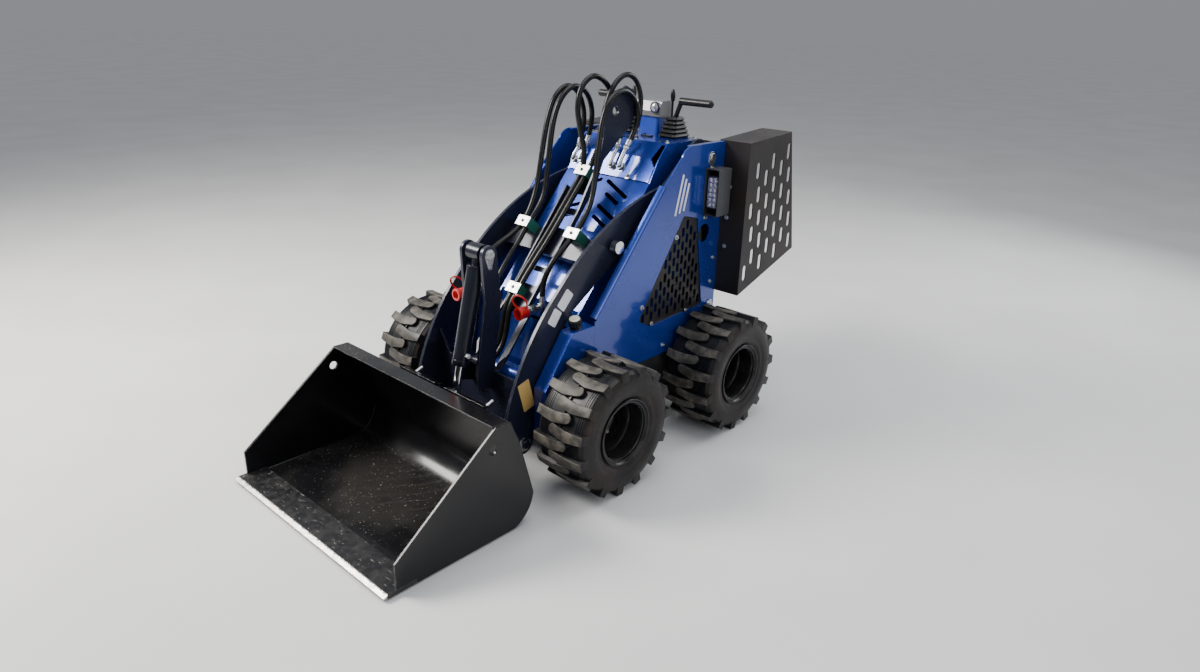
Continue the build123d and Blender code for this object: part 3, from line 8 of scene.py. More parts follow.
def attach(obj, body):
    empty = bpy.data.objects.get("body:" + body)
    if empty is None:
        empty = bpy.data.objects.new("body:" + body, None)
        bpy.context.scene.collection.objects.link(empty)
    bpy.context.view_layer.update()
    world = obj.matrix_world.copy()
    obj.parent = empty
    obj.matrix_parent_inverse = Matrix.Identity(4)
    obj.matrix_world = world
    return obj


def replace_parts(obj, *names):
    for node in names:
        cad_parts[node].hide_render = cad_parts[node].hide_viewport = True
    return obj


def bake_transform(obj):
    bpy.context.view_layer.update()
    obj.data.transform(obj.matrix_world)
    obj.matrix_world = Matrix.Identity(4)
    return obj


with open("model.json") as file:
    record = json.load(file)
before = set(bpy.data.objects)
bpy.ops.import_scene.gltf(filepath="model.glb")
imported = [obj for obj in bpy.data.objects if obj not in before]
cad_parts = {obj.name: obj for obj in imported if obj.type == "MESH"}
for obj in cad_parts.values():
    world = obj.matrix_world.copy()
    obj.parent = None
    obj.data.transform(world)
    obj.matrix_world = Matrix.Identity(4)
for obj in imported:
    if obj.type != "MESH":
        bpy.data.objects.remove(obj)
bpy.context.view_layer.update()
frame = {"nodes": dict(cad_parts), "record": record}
SIDES = (("left", 1), ("right", -1))

# Camera, fitted to the photograph from the wheels and panels
CAMERA_AT = Vector((2.019, 2.071, 1.515))
CAMERA_AZ, CAMERA_EL, CAMERA_ROLL = -2.410, -0.376, 0.027
FOCAL_PX, PHOTO_W = 824.389, 1200.0
SENSOR = 36.0
CLIP = (0.05, 160)


def add_camera():
    data = bpy.data.cameras.new("camera")
    data.sensor_width = SENSOR
    data.lens = FOCAL_PX / PHOTO_W * SENSOR
    data.clip_start, data.clip_end = CLIP
    cam = bpy.data.objects.new("camera", data)
    bpy.context.scene.collection.objects.link(cam)
    ahead = Vector((math.cos(CAMERA_EL) * math.cos(CAMERA_AZ), math.cos(CAMERA_EL) * math.sin(CAMERA_AZ),
                    math.sin(CAMERA_EL)))
    right = ahead.cross(Vector((0, 0, 1))).normalized()
    up = right.cross(ahead)
    c, s = math.cos(CAMERA_ROLL), math.sin(CAMERA_ROLL)
    rolled_right, rolled_up = right * c + up * s, up * c - right * s
    turn = Matrix((rolled_right, rolled_up, -ahead)).transposed().to_4x4()
    cam.matrix_world = Matrix.Translation(CAMERA_AT) @ turn
    bpy.context.scene.camera = cam


add_camera()

MIX_A, MIX_B, MIX_OUT = 6, 7, 2  # the colour sockets of a Mix node


class Mat:
    """A Principled material with short calls for its nodes."""

    def __init__(self, name, **sockets):
        self.m = bpy.data.materials.new(name)
        self.m.use_nodes = True
        self.t = self.m.node_tree
        self.t.nodes.clear()
        out = self.t.nodes.new("ShaderNodeOutputMaterial")
        self.b = self.t.nodes.new("ShaderNodeBsdfPrincipled")
        self.t.links.new(self.b.outputs[0], out.inputs[0])
        for key, value in sockets.items():
            self.b.inputs[key.replace("_", " ")].default_value = value
        self.coord = self.t.nodes.new("ShaderNodeTexCoord")
        self.geo = self.t.nodes.new("ShaderNodeNewGeometry")

    def put(self, socket, target):
        """Link a socket to the target, or set the target to a plain value."""
        if hasattr(socket, "links"):
            self.t.links.new(socket, target)
        else:
            target.default_value = socket

    def node(self, kind, out=0, **inputs):
        """A node with its inputs, and its own settings after an underscore."""
        n = self.t.nodes.new(kind)
        for key, value in inputs.items():
            if key.startswith("_"):
                setattr(n, key[1:], value)
            else:
                self.put(value, n.inputs[key.replace("_", " ")])
        return n.outputs[out]

    def noise(self, scale, detail=2.0, rough=0.5, stretch=None):
        where = self.coord.outputs["Object"]
        if stretch:
            where = self.node("ShaderNodeMapping", Vector=where, Scale=stretch)
        return self.node("ShaderNodeTexNoise", Vector=where, Scale=scale, Detail=detail, Roughness=rough)

    def math(self, op, a, b=0.0):
        n = self.t.nodes.new("ShaderNodeMath")
        n.operation = op
        self.put(a, n.inputs[0])
        self.put(b, n.inputs[1])
        return n.outputs[0]

    def times(self, a, b):
        return self.math("MULTIPLY", a, b)

    def span(self, value, low, high, to_low=0.0, to_high=1.0):
        """A smooth step from low to high."""
        n = self.t.nodes.new("ShaderNodeMapRange")
        n.interpolation_type = "SMOOTHSTEP"
        self.put(value, n.inputs["Value"])
        for key, x in (("From Min", low), ("From Max", high), ("To Min", to_low), ("To Max", to_high)):
            n.inputs[key].default_value = x
        return n.outputs[0]

    def mix(self, share, a, b):
        n = self.t.nodes.new("ShaderNodeMix")
        n.data_type = "RGBA"
        self.put(share, n.inputs["Factor"])
        for value, key in ((a, MIX_A), (b, MIX_B)):
            self.put((*value, 1.0) if isinstance(value, tuple) and len(value) == 3 else value, n.inputs[key])
        return n.outputs[MIX_OUT]

    def split(self, vector):
        """The outputs x, y and z of a vector."""
        n = self.t.nodes.new("ShaderNodeSeparateXYZ")
        self.t.links.new(vector, n.inputs[0])
        return n.outputs

    def facing_up(self):
        return self.split(self.geo.outputs["Normal"])[2]

    def height(self):
        return self.split(self.coord.outputs["Object"])[2]

    def round_edge(self, radius, samples=4):
        """The bevelled normal, and how far it departs from the true one."""
        n = self.t.nodes.new("ShaderNodeBevel")
        n.samples = samples
        n.inputs["Radius"].default_value = radius
        dot = self.t.nodes.new("ShaderNodeVectorMath")
        dot.operation = "DOT_PRODUCT"
        self.t.links.new(n.outputs[0], dot.inputs[0])
        self.t.links.new(self.geo.outputs["Normal"], dot.inputs[1])
        return n.outputs[0], self.math("SUBTRACT", 1.0, dot.outputs["Value"])

    def bump(self, height, strength, distance, normal=None):
        n = self.t.nodes.new("ShaderNodeBump")
        n.inputs["Strength"].default_value = strength
        n.inputs["Distance"].default_value = distance
        self.put(height, n.inputs["Height"])
        if normal is not None:
            self.t.links.new(normal, n.inputs["Normal"])
        return n.outputs[0]

    def finish(self, color=None, rough=None, normal=None, metal=None):
        for value, key in ((color, "Base Color"), (rough, "Roughness"), (normal, "Normal"), (metal, "Metallic")):
            if value is not None:
                self.put(value, self.b.inputs[key])
        return self.m


DUST = (0.30, 0.25, 0.19)
# Lighter grey of the edges: partly worn paint, partly a painted highlight
WORN_AND_HIGHLIGHT_GREY = (0.42, 0.43, 0.46)
BLUE, BLUE_PALER = (0.0055, 0.036, 0.285), (0.009, 0.046, 0.34)
HEAD_Z = 1.140  # foot of the pod's grey head
EDGE_BARE_X = 1.043  # bare steel of the cutting edge is forward of this


def paint(name, base, rough, dust, metallic=0.0, coat=0.0, edge_wear_and_highlight=0.0, peel=0.15, shift=None, low_dust=0.0, spec=0.5):
    """Painted sheet: slight colour drift, orange peel, dust on what faces up, and lighter edges that are partly wear
    and partly a painted highlight.
    """
    m = Mat(name, Metallic=metallic, Coat_Weight=coat, Coat_Roughness=0.06, Specular_IOR_Level=spec)
    other = shift or tuple(min(1.0, c * 1.25 + 0.004) for c in base)
    color = m.mix(m.span(m.noise(3.2, 3), 0.35, 0.7), base, other)
    settle = m.times(m.span(m.facing_up(), 0.15, 0.95), m.span(m.noise(26, 5, 0.6), 0.42, 0.72))
    specks = m.span(m.noise(190, 2), 0.66, 0.72)
    grime = m.times(m.math("MAXIMUM", settle, m.times(specks, 0.35)), dust)
    if low_dust:
        low = m.times(m.span(m.height(), 0.42, 0.05), m.span(m.noise(14, 6, 0.65), 0.36, 0.66))
        grime = m.math("MAXIMUM", grime, m.times(low, low_dust))
    color = m.mix(grime, color, DUST)
    normal, turn = m.round_edge(0.0015)
    # Edges painted lighter grey: partly wear, partly a painted highlight along the edges
    if edge_wear_and_highlight:
        chipped = m.times(m.span(turn, 0.03, 0.16), m.span(m.noise(60, 4, 0.7), 0.38, 0.58))
        color = m.mix(m.times(chipped, edge_wear_and_highlight), color, WORN_AND_HIGHLIGHT_GREY)
    roughness = m.math("ADD", m.times(grime, 0.5), m.span(m.noise(9, 3), 0.3, 0.7, rough * 0.85, rough * 1.2))
    return m.finish(color, roughness, m.bump(m.noise(420, 1), peel, 0.0002, normal))


def metal(name, base, rough, stain):
    """Bare or plated metal with a fine grain, stained in places."""
    m = Mat(name, Metallic=1.0)
    drift = m.span(m.noise(40, 4), 0.3, 0.7)
    color = m.mix(m.times(drift, stain), base, tuple(c * 0.55 for c in base))
    normal, _ = m.round_edge(0.0006)
    roughness = m.span(m.noise(70, 3), 0.3, 0.7, rough * 0.8, rough * 1.25)
    return m.finish(color, roughness, m.bump(m.noise(600, 1), 0.12, 0.0001, normal))


def plastic(name, base, rough, dust=0.15, coat=0.0, spec=0.5):
    """Moulded plastic or rubber with a fine grain, and dust on what faces up."""
    m = Mat(name, Coat_Weight=coat, Specular_IOR_Level=spec)
    color = m.mix(m.span(m.noise(8, 3), 0.35, 0.7), base, tuple(min(1, c * 1.2 + 0.006) for c in base))
    settle = m.times(m.span(m.facing_up(), 0.2, 0.95), m.span(m.noise(55, 4), 0.4, 0.7))
    color = m.mix(m.times(settle, dust), color, DUST)
    normal, _ = m.round_edge(0.001)
    roughness = m.span(m.noise(30, 2), 0.3, 0.7, rough * 0.85, min(1, rough * 1.2))
    return m.finish(color, roughness, m.bump(m.noise(900, 1), 0.15, 0.00015, normal))


def tyre_material():
    """Tyre rubber with tan dust on the lugs' tops and brown soil on the sidewalls. The tyre's UV holds radius
    and distance from the middle plane, as shares of the whole radius and half width."""
    m = Mat("tyre_rubber", Specular_IOR_Level=0.22)
    radius, offset = m.split(m.coord.outputs["UV"])[:2]
    color = m.mix(m.span(m.noise(7, 3), 0.3, 0.7), (0.0050, 0.0055, 0.0070), (0.0095, 0.0100, 0.0120))
    wall = m.times(m.span(offset, 0.74, 0.93), m.span(radius, 0.985, 0.90))
    brown = m.times(wall, m.span(m.noise(5, 4, 0.6), 0.34, 0.70, 0.10, 0.50))
    color = m.mix(brown, color, (0.034, 0.022, 0.014))
    top = m.span(radius, 0.979, 0.989)
    film = m.span(m.noise(30, 4, 0.6), 0.34, 0.66, 0.30, 0.62)
    rubbed = m.span(m.noise(15, 4, 0.6), 0.40, 0.64, 0.55, 1.0)
    dust = m.times(top, m.times(film, rubbed))
    floor_dust = m.times(m.span(m.noise(60, 5, 0.7), 0.52, 0.74), 0.10)
    color = m.mix(m.math("MAXIMUM", dust, floor_dust), color, (0.170, 0.152, 0.125))
    roughness = m.math("ADD", m.times(dust, 0.25), m.span(m.noise(12, 2), 0.3, 0.7, 0.34, 0.46))
    return m.finish(color, roughness, m.bump(m.noise(260, 3, 0.6), 0.22, 0.0004))


def bucket_material():
    """Gloss black, with fine curved dust swirls and grains on the floor and bare marks on the edges."""
    m = Mat("bucket_black", Coat_Weight=0.10, Coat_Roughness=0.04, Specular_IOR_Level=0.30)
    base = m.mix(m.span(m.noise(5, 3), 0.35, 0.7), (0.0035, 0.0035, 0.0042), (0.0065, 0.0065, 0.0075))
    up = m.span(m.facing_up(), 0.80, 0.98)
    place = m.node("ShaderNodeMapping", Vector=m.coord.outputs["Object"], Location=(-0.25, 0.62, 0.0))
    swirl = m.node("ShaderNodeTexWave", 1, _wave_type="RINGS", _rings_direction="Z", Vector=place, Scale=6.5,
                   Distortion=3.4, Detail=4.0, Detail_Scale=1.2)
    patch = m.span(m.noise(2.3, 3), 0.46, 0.60)
    streak = m.times(m.span(swirl, 0.70, 1.0), m.times(patch, 0.060))
    film = m.times(m.span(m.noise(2.1, 4, 0.6), 0.44, 0.60), 0.045)
    grains = m.times(m.span(m.noise(150, 2, 0.5), 0.66, 0.74), m.span(m.noise(2.2, 1), 0.40, 0.60, 0.1, 0.5))
    grime = m.times(up, m.math("MAXIMUM", m.math("MAXIMUM", streak, film), grains))
    normal, turn = m.round_edge(0.004, 6)
    chipped = m.times(m.span(turn, 0.05, 0.18), m.span(m.noise(75, 4, 0.7), 0.44, 0.6))
    color = m.mix(m.times(chipped, 0.4), m.mix(grime, base, (0.34, 0.31, 0.26)), (0.22, 0.22, 0.23))
    rough = m.math("ADD", m.times(grime, 0.8), m.span(m.noise(7, 4), 0.3, 0.7, 0.16, 0.26))
    return m.finish(color, rough, m.bump(m.noise(9, 2), 0.08, 0.002, normal))


def edge_material():
    """Cutting edge: worn bright at its front and bevel, scuffed black paint behind."""
    m = Mat("worn_edge")
    x = m.split(m.coord.outputs["Object"])[0]
    ragged = m.math("ADD", x, m.times(m.noise(55, 4, 0.7), 0.016))
    bare = m.span(ragged, EDGE_BARE_X, EDGE_BARE_X + 0.004)
    scuff = m.times(m.span(m.noise(60, 5, 0.7, stretch=(1.6, 0.5, 1)), 0.60, 0.70), 0.35)
    bare = m.math("MAXIMUM", bare, scuff)
    scratch = m.noise(120, 4, 0.6, stretch=(1.0, 0.25, 1))
    steel = m.mix(m.span(scratch, 0.3, 0.7), (0.62, 0.61, 0.59), (0.42, 0.40, 0.37))
    rust = m.times(m.span(m.noise(17, 4, 0.65), 0.60, 0.72), 0.5)
    steel = m.mix(rust, steel, (0.17, 0.10, 0.055))
    black = m.mix(m.span(m.noise(30, 4), 0.4, 0.7), (0.006, 0.006, 0.007), (0.020, 0.019, 0.018))
    normal, _ = m.round_edge(0.0015)
    rough = m.span(m.noise(45, 4), 0.3, 0.7, 0.26, 0.44)
    return m.finish(m.mix(bare, black, steel), rough, m.bump(scratch, 0.15, 0.0002, normal), bare)


def hose_material():
    """Wrapped rubber cover: fine diagonal cloth marks, from UV in metres along the hose and radians round it."""
    m = Mat("hose_rubber", Specular_IOR_Level=0.26)
    along, around = m.split(m.coord.outputs["UV"])[:2]
    slant, waves = 0.012, 1900.0
    weave, cross = (m.math("SINE", m.times(m.math(way, along, m.times(around, slant)), waves))
                    for way in ("ADD", "SUBTRACT"))
    cloth = m.times(weave, cross)
    dusty = m.span(m.noise(35, 5), 0.50, 0.80, 0.0, 0.05)
    color = m.mix(dusty, m.mix(m.span(cloth, -1, 1), (0.0035, 0.0035, 0.004), (0.0060, 0.0060, 0.0065)), DUST)
    return m.finish(color, m.span(m.noise(20, 3), 0.3, 0.7, 0.24, 0.36), m.bump(cloth, 0.10, 0.0002))


def pod_material():
    """The pod's column is blue sheet up to its grey moulded head, whose underside has painted shade in a darker brown.
    """
    m = Mat("pod_plastic", Coat_Weight=0.4, Coat_Roughness=0.1)
    head = m.span(m.height(), HEAD_Z - 0.001, HEAD_Z)
    gray = m.mix(m.span(m.noise(8, 3), 0.35, 0.7), (0.115, 0.118, 0.125), (0.150, 0.150, 0.155))
    # Painted shade: faces of the head that point down are painted darker brown
    painted_shade_under = m.mix(m.span(m.facing_up(), 0.1, -0.5), gray, (0.060, 0.048, 0.038))
    blue = m.mix(m.span(m.noise(3.2, 3), 0.35, 0.7), BLUE, BLUE_PALER)
    normal, _ = m.round_edge(0.002)
    return m.finish(m.mix(head, blue, painted_shade_under), m.span(m.noise(30, 2), 0.3, 0.7, 0.28, 0.4),
                    m.bump(m.noise(700, 1), 0.12, 0.00015, normal))


def lens_material():
    """Clear textured lens over bright reflectors."""
    m = Mat("lens", Metallic=0.55, Coat_Weight=1.0, Coat_Roughness=0.03)
    cells = m.node("ShaderNodeTexVoronoi", Vector=m.coord.outputs["Object"], Scale=170.0)
    color = m.mix(m.span(cells, 0.1, 0.6), (0.78, 0.79, 0.84), (0.30, 0.29, 0.36))
    return m.finish(color, m.span(m.noise(90, 2), 0.3, 0.7, 0.10, 0.25), m.bump(cells, 0.45, 0.0008))


MATERIALS = {
    "blue_paint": paint("blue_paint", BLUE, 0.24, metallic=0.45, coat=0.9, dust=0.07, shift=BLUE_PALER),
    # The boom's edges are painted lighter: partly wear, partly a painted highlight
    "boom_paint": paint("boom_paint", (0.0135, 0.0155, 0.030), 0.28, metallic=0.2, coat=0.12, dust=0.05, edge_wear_and_highlight=0.45,
                        spec=0.3),
    "guard_paint": paint("guard_paint", (0.020, 0.019, 0.021), 0.40, metallic=0.15, dust=0.06,
                         shift=(0.026, 0.020, 0.017), spec=0.3),
    "frame_paint": paint("frame_paint", (0.009, 0.010, 0.013), 0.4, dust=0.12, low_dust=0.25, spec=0.3),
    "bucket_paint": bucket_material(),
    "bare_edge": edge_material(),
    "cylinder_paint": paint("cylinder_paint", (0.010, 0.012, 0.020), 0.26, metallic=0.45, coat=0.15, dust=0.02,
                            peel=0.05, spec=0.35),
    "rod_chrome": metal("rod_chrome", (0.86, 0.87, 0.89), 0.08, stain=0.05),
    "zinc": metal("zinc", (0.56, 0.57, 0.58), 0.30, stain=0.45),
    "rim_paint": paint("rim_paint", (0.004, 0.004, 0.005), 0.26, coat=0.1, dust=0.05, low_dust=0.05, spec=0.3),
    "tyre_rubber": tyre_material(),
    "hose_rubber": hose_material(),
    "boot_rubber": plastic("boot_rubber", (0.004, 0.004, 0.0045), 0.32, dust=0.04, spec=0.25),
    "pod_plastic": pod_material(),
    "cap_plastic": plastic("cap_plastic", (0.005, 0.005, 0.005), 0.34, dust=0.04, spec=0.3),
    "red_plastic": plastic("red_plastic", (0.62, 0.012, 0.010), 0.3, coat=0.4),
    "clamp_plastic": plastic("clamp_plastic", (0.010, 0.10, 0.07), 0.45),
    "engine_iron": paint("engine_iron", (0.05, 0.05, 0.055), 0.55, dust=0.4),
    "lamp": plastic("lamp", (0.03, 0.03, 0.034), 0.4),
    # The rest are no slots of the record
    "cover_plate": metal("cover_plate", (0.72, 0.72, 0.69), 0.42, stain=0.2),
    "dusty_zinc": plastic("dusty_zinc", (0.27, 0.22, 0.15), 0.5, dust=0.5),
    "pale_top": plastic("pale_top", (0.62, 0.58, 0.48), 0.5, dust=0.4),
    "label_pale": plastic("label_pale", (0.66, 0.66, 0.70), 0.35, dust=0.25),
    "label_tan": plastic("label_tan", (0.56, 0.36, 0.11), 0.4, dust=0.25),
    "lens": lens_material(),
}
for row in frame["record"]["subparts"]:
    node = frame["nodes"][row["node"]]
    if not node.material_slots:
        node.data.materials.append(None)
    for node_slot in node.material_slots:
        node_slot.link = "OBJECT"
        node_slot.material = MATERIALS[row["material_slot"]]


def mesh_object(name, verts, faces, slot, body, angle=35):
    """A new object from points and faces."""
    mesh = bpy.data.meshes.new(name)
    mesh.from_pydata([tuple(v) for v in verts], [], faces)
    mesh.validate()
    return dress(mesh, name, slot, body, angle)


def dress(mesh, name, slot, body, angle):
    """The mesh's object, smooth up to an angle in degrees, with its slot's material, riding on a body."""
    bm = bmesh.new()
    bm.from_mesh(mesh)
    bmesh.ops.recalc_face_normals(bm, faces=bm.faces)
    bm.to_mesh(mesh)
    bm.free()
    mesh.shade_smooth()
    mesh.set_sharp_from_angle(angle=math.radians(angle))
    obj = bpy.data.objects.new(name, mesh)
    bpy.context.scene.collection.objects.link(obj)
    mesh.materials.append(MATERIALS[slot])
    if body:
        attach(obj, body)
    return obj


def ring_faces(rings, count):
    """Quads between rings of points that follow each other."""
    return [(i * count + k, i * count + (k + 1) % count, (i + 1) * count + (k + 1) % count, (i + 1) * count + k)
            for i in range(rings - 1) for k in range(count)]


def tube_rings(path, radius, sides):
    """Rings round a path: (vertices, faces), with both ends open."""
    verts, across = [], None
    for i, here in enumerate(path):
        ahead = (path[min(i + 1, len(path) - 1)] - path[max(i - 1, 0)]).normalized()
        if across is None:
            across = ahead.orthogonal()
        across = (across - ahead * across.dot(ahead)).normalized()
        over = ahead.cross(across)
        for k in range(sides):
            a = 2 * math.pi * k / sides
            verts.append(here + (across * math.cos(a) + over * math.sin(a)) * radius)
    return verts, ring_faces(len(path), sides)


# Hoses: part.py's routes in millimetres, from the boom end to the deck, and lengths in metres
HOSE_D, HOSE_SIDES = 0.020, 14
HOSES = {  # name: declared length, blend from x to x, route
    "right_outer": (1.092, -0.335, -0.130, [
        (180, -170, 596), (180, -170, 645), (158, -156, 690), (108, -146, 722), (52, -141, 746), (-1, -140, 777),
        (-48, -142, 838), (-82, -147, 910), (-104, -150, 1003), (-132, -151, 1130), (-172, -153, 1220),
        (-239, -155, 1262), (-306, -158, 1232), (-340, -162, 1170), (-350, -167, 1110), (-338, -172, 1054)]),
    "right_inner": (1.329, -0.345, -0.140, [
        (262, -90, 358), (226, -90, 392), (204, -91, 446), (196, -93, 508), (180, -98, 566), (146, -106, 622),
        (100, -112, 668), (48, -115, 718), (-1, -116, 777), (-52, -117, 824), (-94, -119, 880), (-115, -122, 1005),
        (-140, -125, 1144), (-182, -126, 1222), (-248, -127, 1261), (-316, -130, 1238), (-354, -134, 1182),
        (-364, -138, 1122), (-350, -142, 1066)]),
    "centre_right": (1.460, -0.350, -0.190, [
        (280, -34, 347), (237, -34, 374), (207, -35, 424), (192, -36, 484), (178, -36, 534), (140, -35, 581),
        (76, -28, 663), (-11, -20, 760), (-91, -13, 862), (-177, -9, 963), (-188, -8, 1034), (-162, -8, 1112),
        (-143, -8, 1190), (-158, -8, 1264), (-222, -8, 1306), (-286, -6, 1280), (-322, -2, 1232), (-354, 3, 1176),
        (-376, 7, 1120), (-357, 10, 1069)]),
    "centre_left": (1.431, -0.420, -0.200, [
        (280, -8, 347), (237, -8, 374), (207, -10, 424), (192, -13, 484), (178, -15, 534), (140, -15, 581),
        (76, -7, 663), (-11, 2, 760), (-91, 9, 862), (-177, 14, 963), (-220, 16, 1022), (-246, 16, 1100),
        (-262, 16, 1186), (-298, 18, 1262), (-362, 20, 1306), (-424, 22, 1288), (-454, 25, 1226), (-450, 29, 1162),
        (-424, 33, 1106)]),
    "left": (1.079, -0.350, -0.130, [
        (130, 100, 584), (130, 100, 622), (114, 107, 668), (90, 114, 710), (50, 119, 742), (4, 120, 776),
        (-50, 118, 824), (-96, 114, 884), (-120, 108, 962), (-142, 99, 1062), (-168, 91, 1166), (-216, 84, 1234),
        (-292, 78, 1258), (-352, 75, 1228), (-386, 72, 1176), (-384, 67, 1118), (-357, 61, 1070)]),
}


def metres(point):
    return [c / 1000 for c in point]


def smooth_line(name, points):
    """Points along the route's own NURBS spline."""
    curve = bpy.data.curves.new(name, "CURVE")
    curve.dimensions = "3D"
    spline = curve.splines.new("NURBS")
    spline.points.add(len(points) - 1)
    for p, co in zip(spline.points, points):
        p.co = (*metres(co), 1.0)
    spline.order_u = 3
    spline.use_endpoint_u = True
    spline.resolution_u = 8
    obj = bpy.data.objects.new(name, curve)
    bpy.context.scene.collection.objects.link(obj)
    line = bpy.data.meshes.new_from_object(obj.evaluated_get(bpy.context.evaluated_depsgraph_get()))
    path = [v.co.copy() for v in line.vertices]
    bpy.data.objects.remove(obj)
    bpy.data.curves.remove(curve)
    bpy.data.meshes.remove(line)
    return path


def hose_tube(name, path):
    """A closed tube along a path, with UV x along it in metres and y round it in radians."""
    verts, faces = tube_rings(path, HOSE_D / 2, HOSE_SIDES)
    faces += [tuple(reversed(range(HOSE_SIDES))), tuple(range(len(verts) - HOSE_SIDES, len(verts)))]
    lengths = [0.0]
    for before, here in zip(path, path[1:]):
        lengths.append(lengths[-1] + (here - before).length)
    mesh = bpy.data.meshes.new(name)
    mesh.from_pydata([tuple(v) for v in verts], [], faces)
    uv = mesh.uv_layers.new(name="along")
    for poly in mesh.polygons:
        columns = [v % HOSE_SIDES for v in poly.vertices]
        wraps = len(columns) == 4 and 0 in columns and HOSE_SIDES - 1 in columns
        for li, vi, k in zip(poly.loop_indices, poly.vertices, columns):
            around = 2 * math.pi * (HOSE_SIDES if wraps and k == 0 else k) / HOSE_SIDES
            uv.data[li].uv = (lengths[vi // HOSE_SIDES], around)
    return dress(mesh, name, "hose_rubber", None, 60)


for hose, (length, x_deck, x_boom, route) in HOSES.items():
    path = smooth_line(f"route_{hose}", route)
    tube = hose_tube(f"hose_{hose}_cover", path)
    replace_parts(tube, f"hose_{hose}")
    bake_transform(tube)


BOLT_HEAD = 1.24  # a head's height as a share of its half width


class Shape:
    """Collects turned forms and plates into the mesh of one piece."""

    def __init__(self):
        self.verts, self.faces = [], []

    def add(self, verts, faces, at=(0, 0, 0), normal=(0, 0, 1), along=None):
        """Points and faces, with their z turned to the normal and their x to lie along."""
        z = Vector(normal).normalized()
        x = Vector(along) if along else (Vector((0, 0, 1)) if abs(z.z) < 0.9 else Vector((0, 1, 0))).cross(z)
        x = (x - z * x.dot(z)).normalized()
        place = Matrix.Translation(at) @ Matrix((x, z.cross(x), z)).transposed().to_4x4()
        first = len(self.verts)
        self.verts += [place @ Vector(v) for v in verts]
        self.faces += [tuple(first + i for i in face) for face in faces]

    def lathe(self, profile, at, normal, sides=24):
        """Rings of (radius, height) about the normal. A radius of 0 closes the form."""
        verts, faces, rings = [], [], []
        for r, h in profile:
            count = sides if r > 0 else 1
            rings.append(range(len(verts), len(verts) + count))
            verts += [(r * math.cos(2 * math.pi * k / sides), r * math.sin(2 * math.pi * k / sides), h)
                      for k in range(count)]
        for low, high in zip(rings, rings[1:]):
            for k in range(sides):
                ring = (low[k % len(low)], low[(k + 1) % len(low)], high[(k + 1) % len(high)], high[k % len(high)])
                face = tuple(dict.fromkeys(ring))
                if len(face) > 2:
                    faces.append(face)
        self.add(verts, faces, at, normal)

    def plate(self, outline, thick, at, normal, along=None, bevel=0.0005):
        """A flat plate with a small bevel round its upper face."""
        n = len(outline)
        verts = [(x, y, 0) for x, y in outline] + [(x, y, thick - bevel) for x, y in outline]
        verts += [(x, y, thick) for x, y in inset(outline, bevel)]
        faces = ring_faces(3, n) + [tuple(range(2 * n, 3 * n)), tuple(reversed(range(n)))]
        self.add(verts, faces, at, normal, along)

    def bolt(self, at, normal, size, washer=1.75):
        """A washer with a chamfered hexagon head on it. Size is the head's half width, and washer is times that."""
        at, normal = Vector(at), Vector(normal).normalized()
        rim, top = size * washer, size * BOLT_HEAD
        self.lathe([(rim, 0), (rim, 0.0012), (rim * 0.95, 0.0016), (0, 0.0016)], at, normal)
        self.lathe([(size, 0), (size, top * 0.78), (size * 0.86, top), (size * 0.4, top), (0, top * 0.9)],
                   at + normal * 0.0014, normal, 6)

    def piece(self, name, slot, body, angle=35, material=None):
        """The piece, in its slot's material or in another one of MATERIALS."""
        obj = mesh_object(name, self.verts, self.faces, slot, body, angle)
        if material:
            obj.data.materials[0] = MATERIALS[material]
        return obj


def inset(outline, d):
    """The outline moved inwards by d, for points that run anticlockwise."""
    moved = []
    for before, here, after in zip(outline[-1:] + outline[:-1], outline, outline[1:] + outline[:1]):
        a = Vector((here[0] - before[0], here[1] - before[1])).normalized()
        b = Vector((after[0] - here[0], after[1] - here[1])).normalized()
        s = Vector((-a.y - b.y, a.x + b.x))
        s *= 2 * d / max(s.length_squared, 0.6)
        moved.append((here[0] + s.x, here[1] + s.y))
    return moved


def arc(centre, radius, start, end, count):
    """Points on an arc, with its angles in degrees."""
    return [(centre[0] + radius * math.cos(math.radians(start + (end - start) * k / count)),
             centre[1] + radius * math.sin(math.radians(start + (end - start) * k / count)))
            for k in range(count + 1)]


def rounded(w, h, r):
    """Outline of a rounded rectangle about the origin."""
    w, h = w / 2 - r, h / 2 - r
    corners = ((w, h, 0), (-w, h, 90), (-w, -h, 180), (w, -h, 270))
    return [point for x, y, start in corners for point in arc((x, y), r, start, start + 90, 4)]


def teardrop(big, small, length):
    """Outline of a plate round the origin that narrows to a small end down along -Y."""
    lean = math.degrees(math.asin((big - small) / length))
    return arc((0, 0), big, -lean, 180 + lean, 16) + arc((0, -length), small, 180 + lean, 360 - lean, 8)


def three_point_arc(p, q, r, count):
    """Points on the arc from p through q to r."""
    (ax, ay), (bx, by), (cx, cy) = p, q, r
    a2, b2, c2 = ax ** 2 + ay ** 2, bx ** 2 + by ** 2, cx ** 2 + cy ** 2
    d = 2 * (ax * (by - cy) + bx * (cy - ay) + cx * (ay - by))
    ux = (a2 * (by - cy) + b2 * (cy - ay) + c2 * (ay - by)) / d
    uy = (a2 * (cx - bx) + b2 * (ax - cx) + c2 * (bx - ax)) / d
    radius = math.hypot(ax - ux, ay - uy)
    a0, a1 = math.atan2(ay - uy, ax - ux), math.atan2(cy - uy, cx - ux)
    am = math.atan2(by - uy, bx - ux)
    turn = (a1 - a0) % (2 * math.pi)
    if (am - a0) % (2 * math.pi) > turn:
        turn -= 2 * math.pi
    return [(ux + radius * math.cos(a0 + turn * k / count), uy + radius * math.sin(a0 + turn * k / count))
            for k in range(count + 1)]


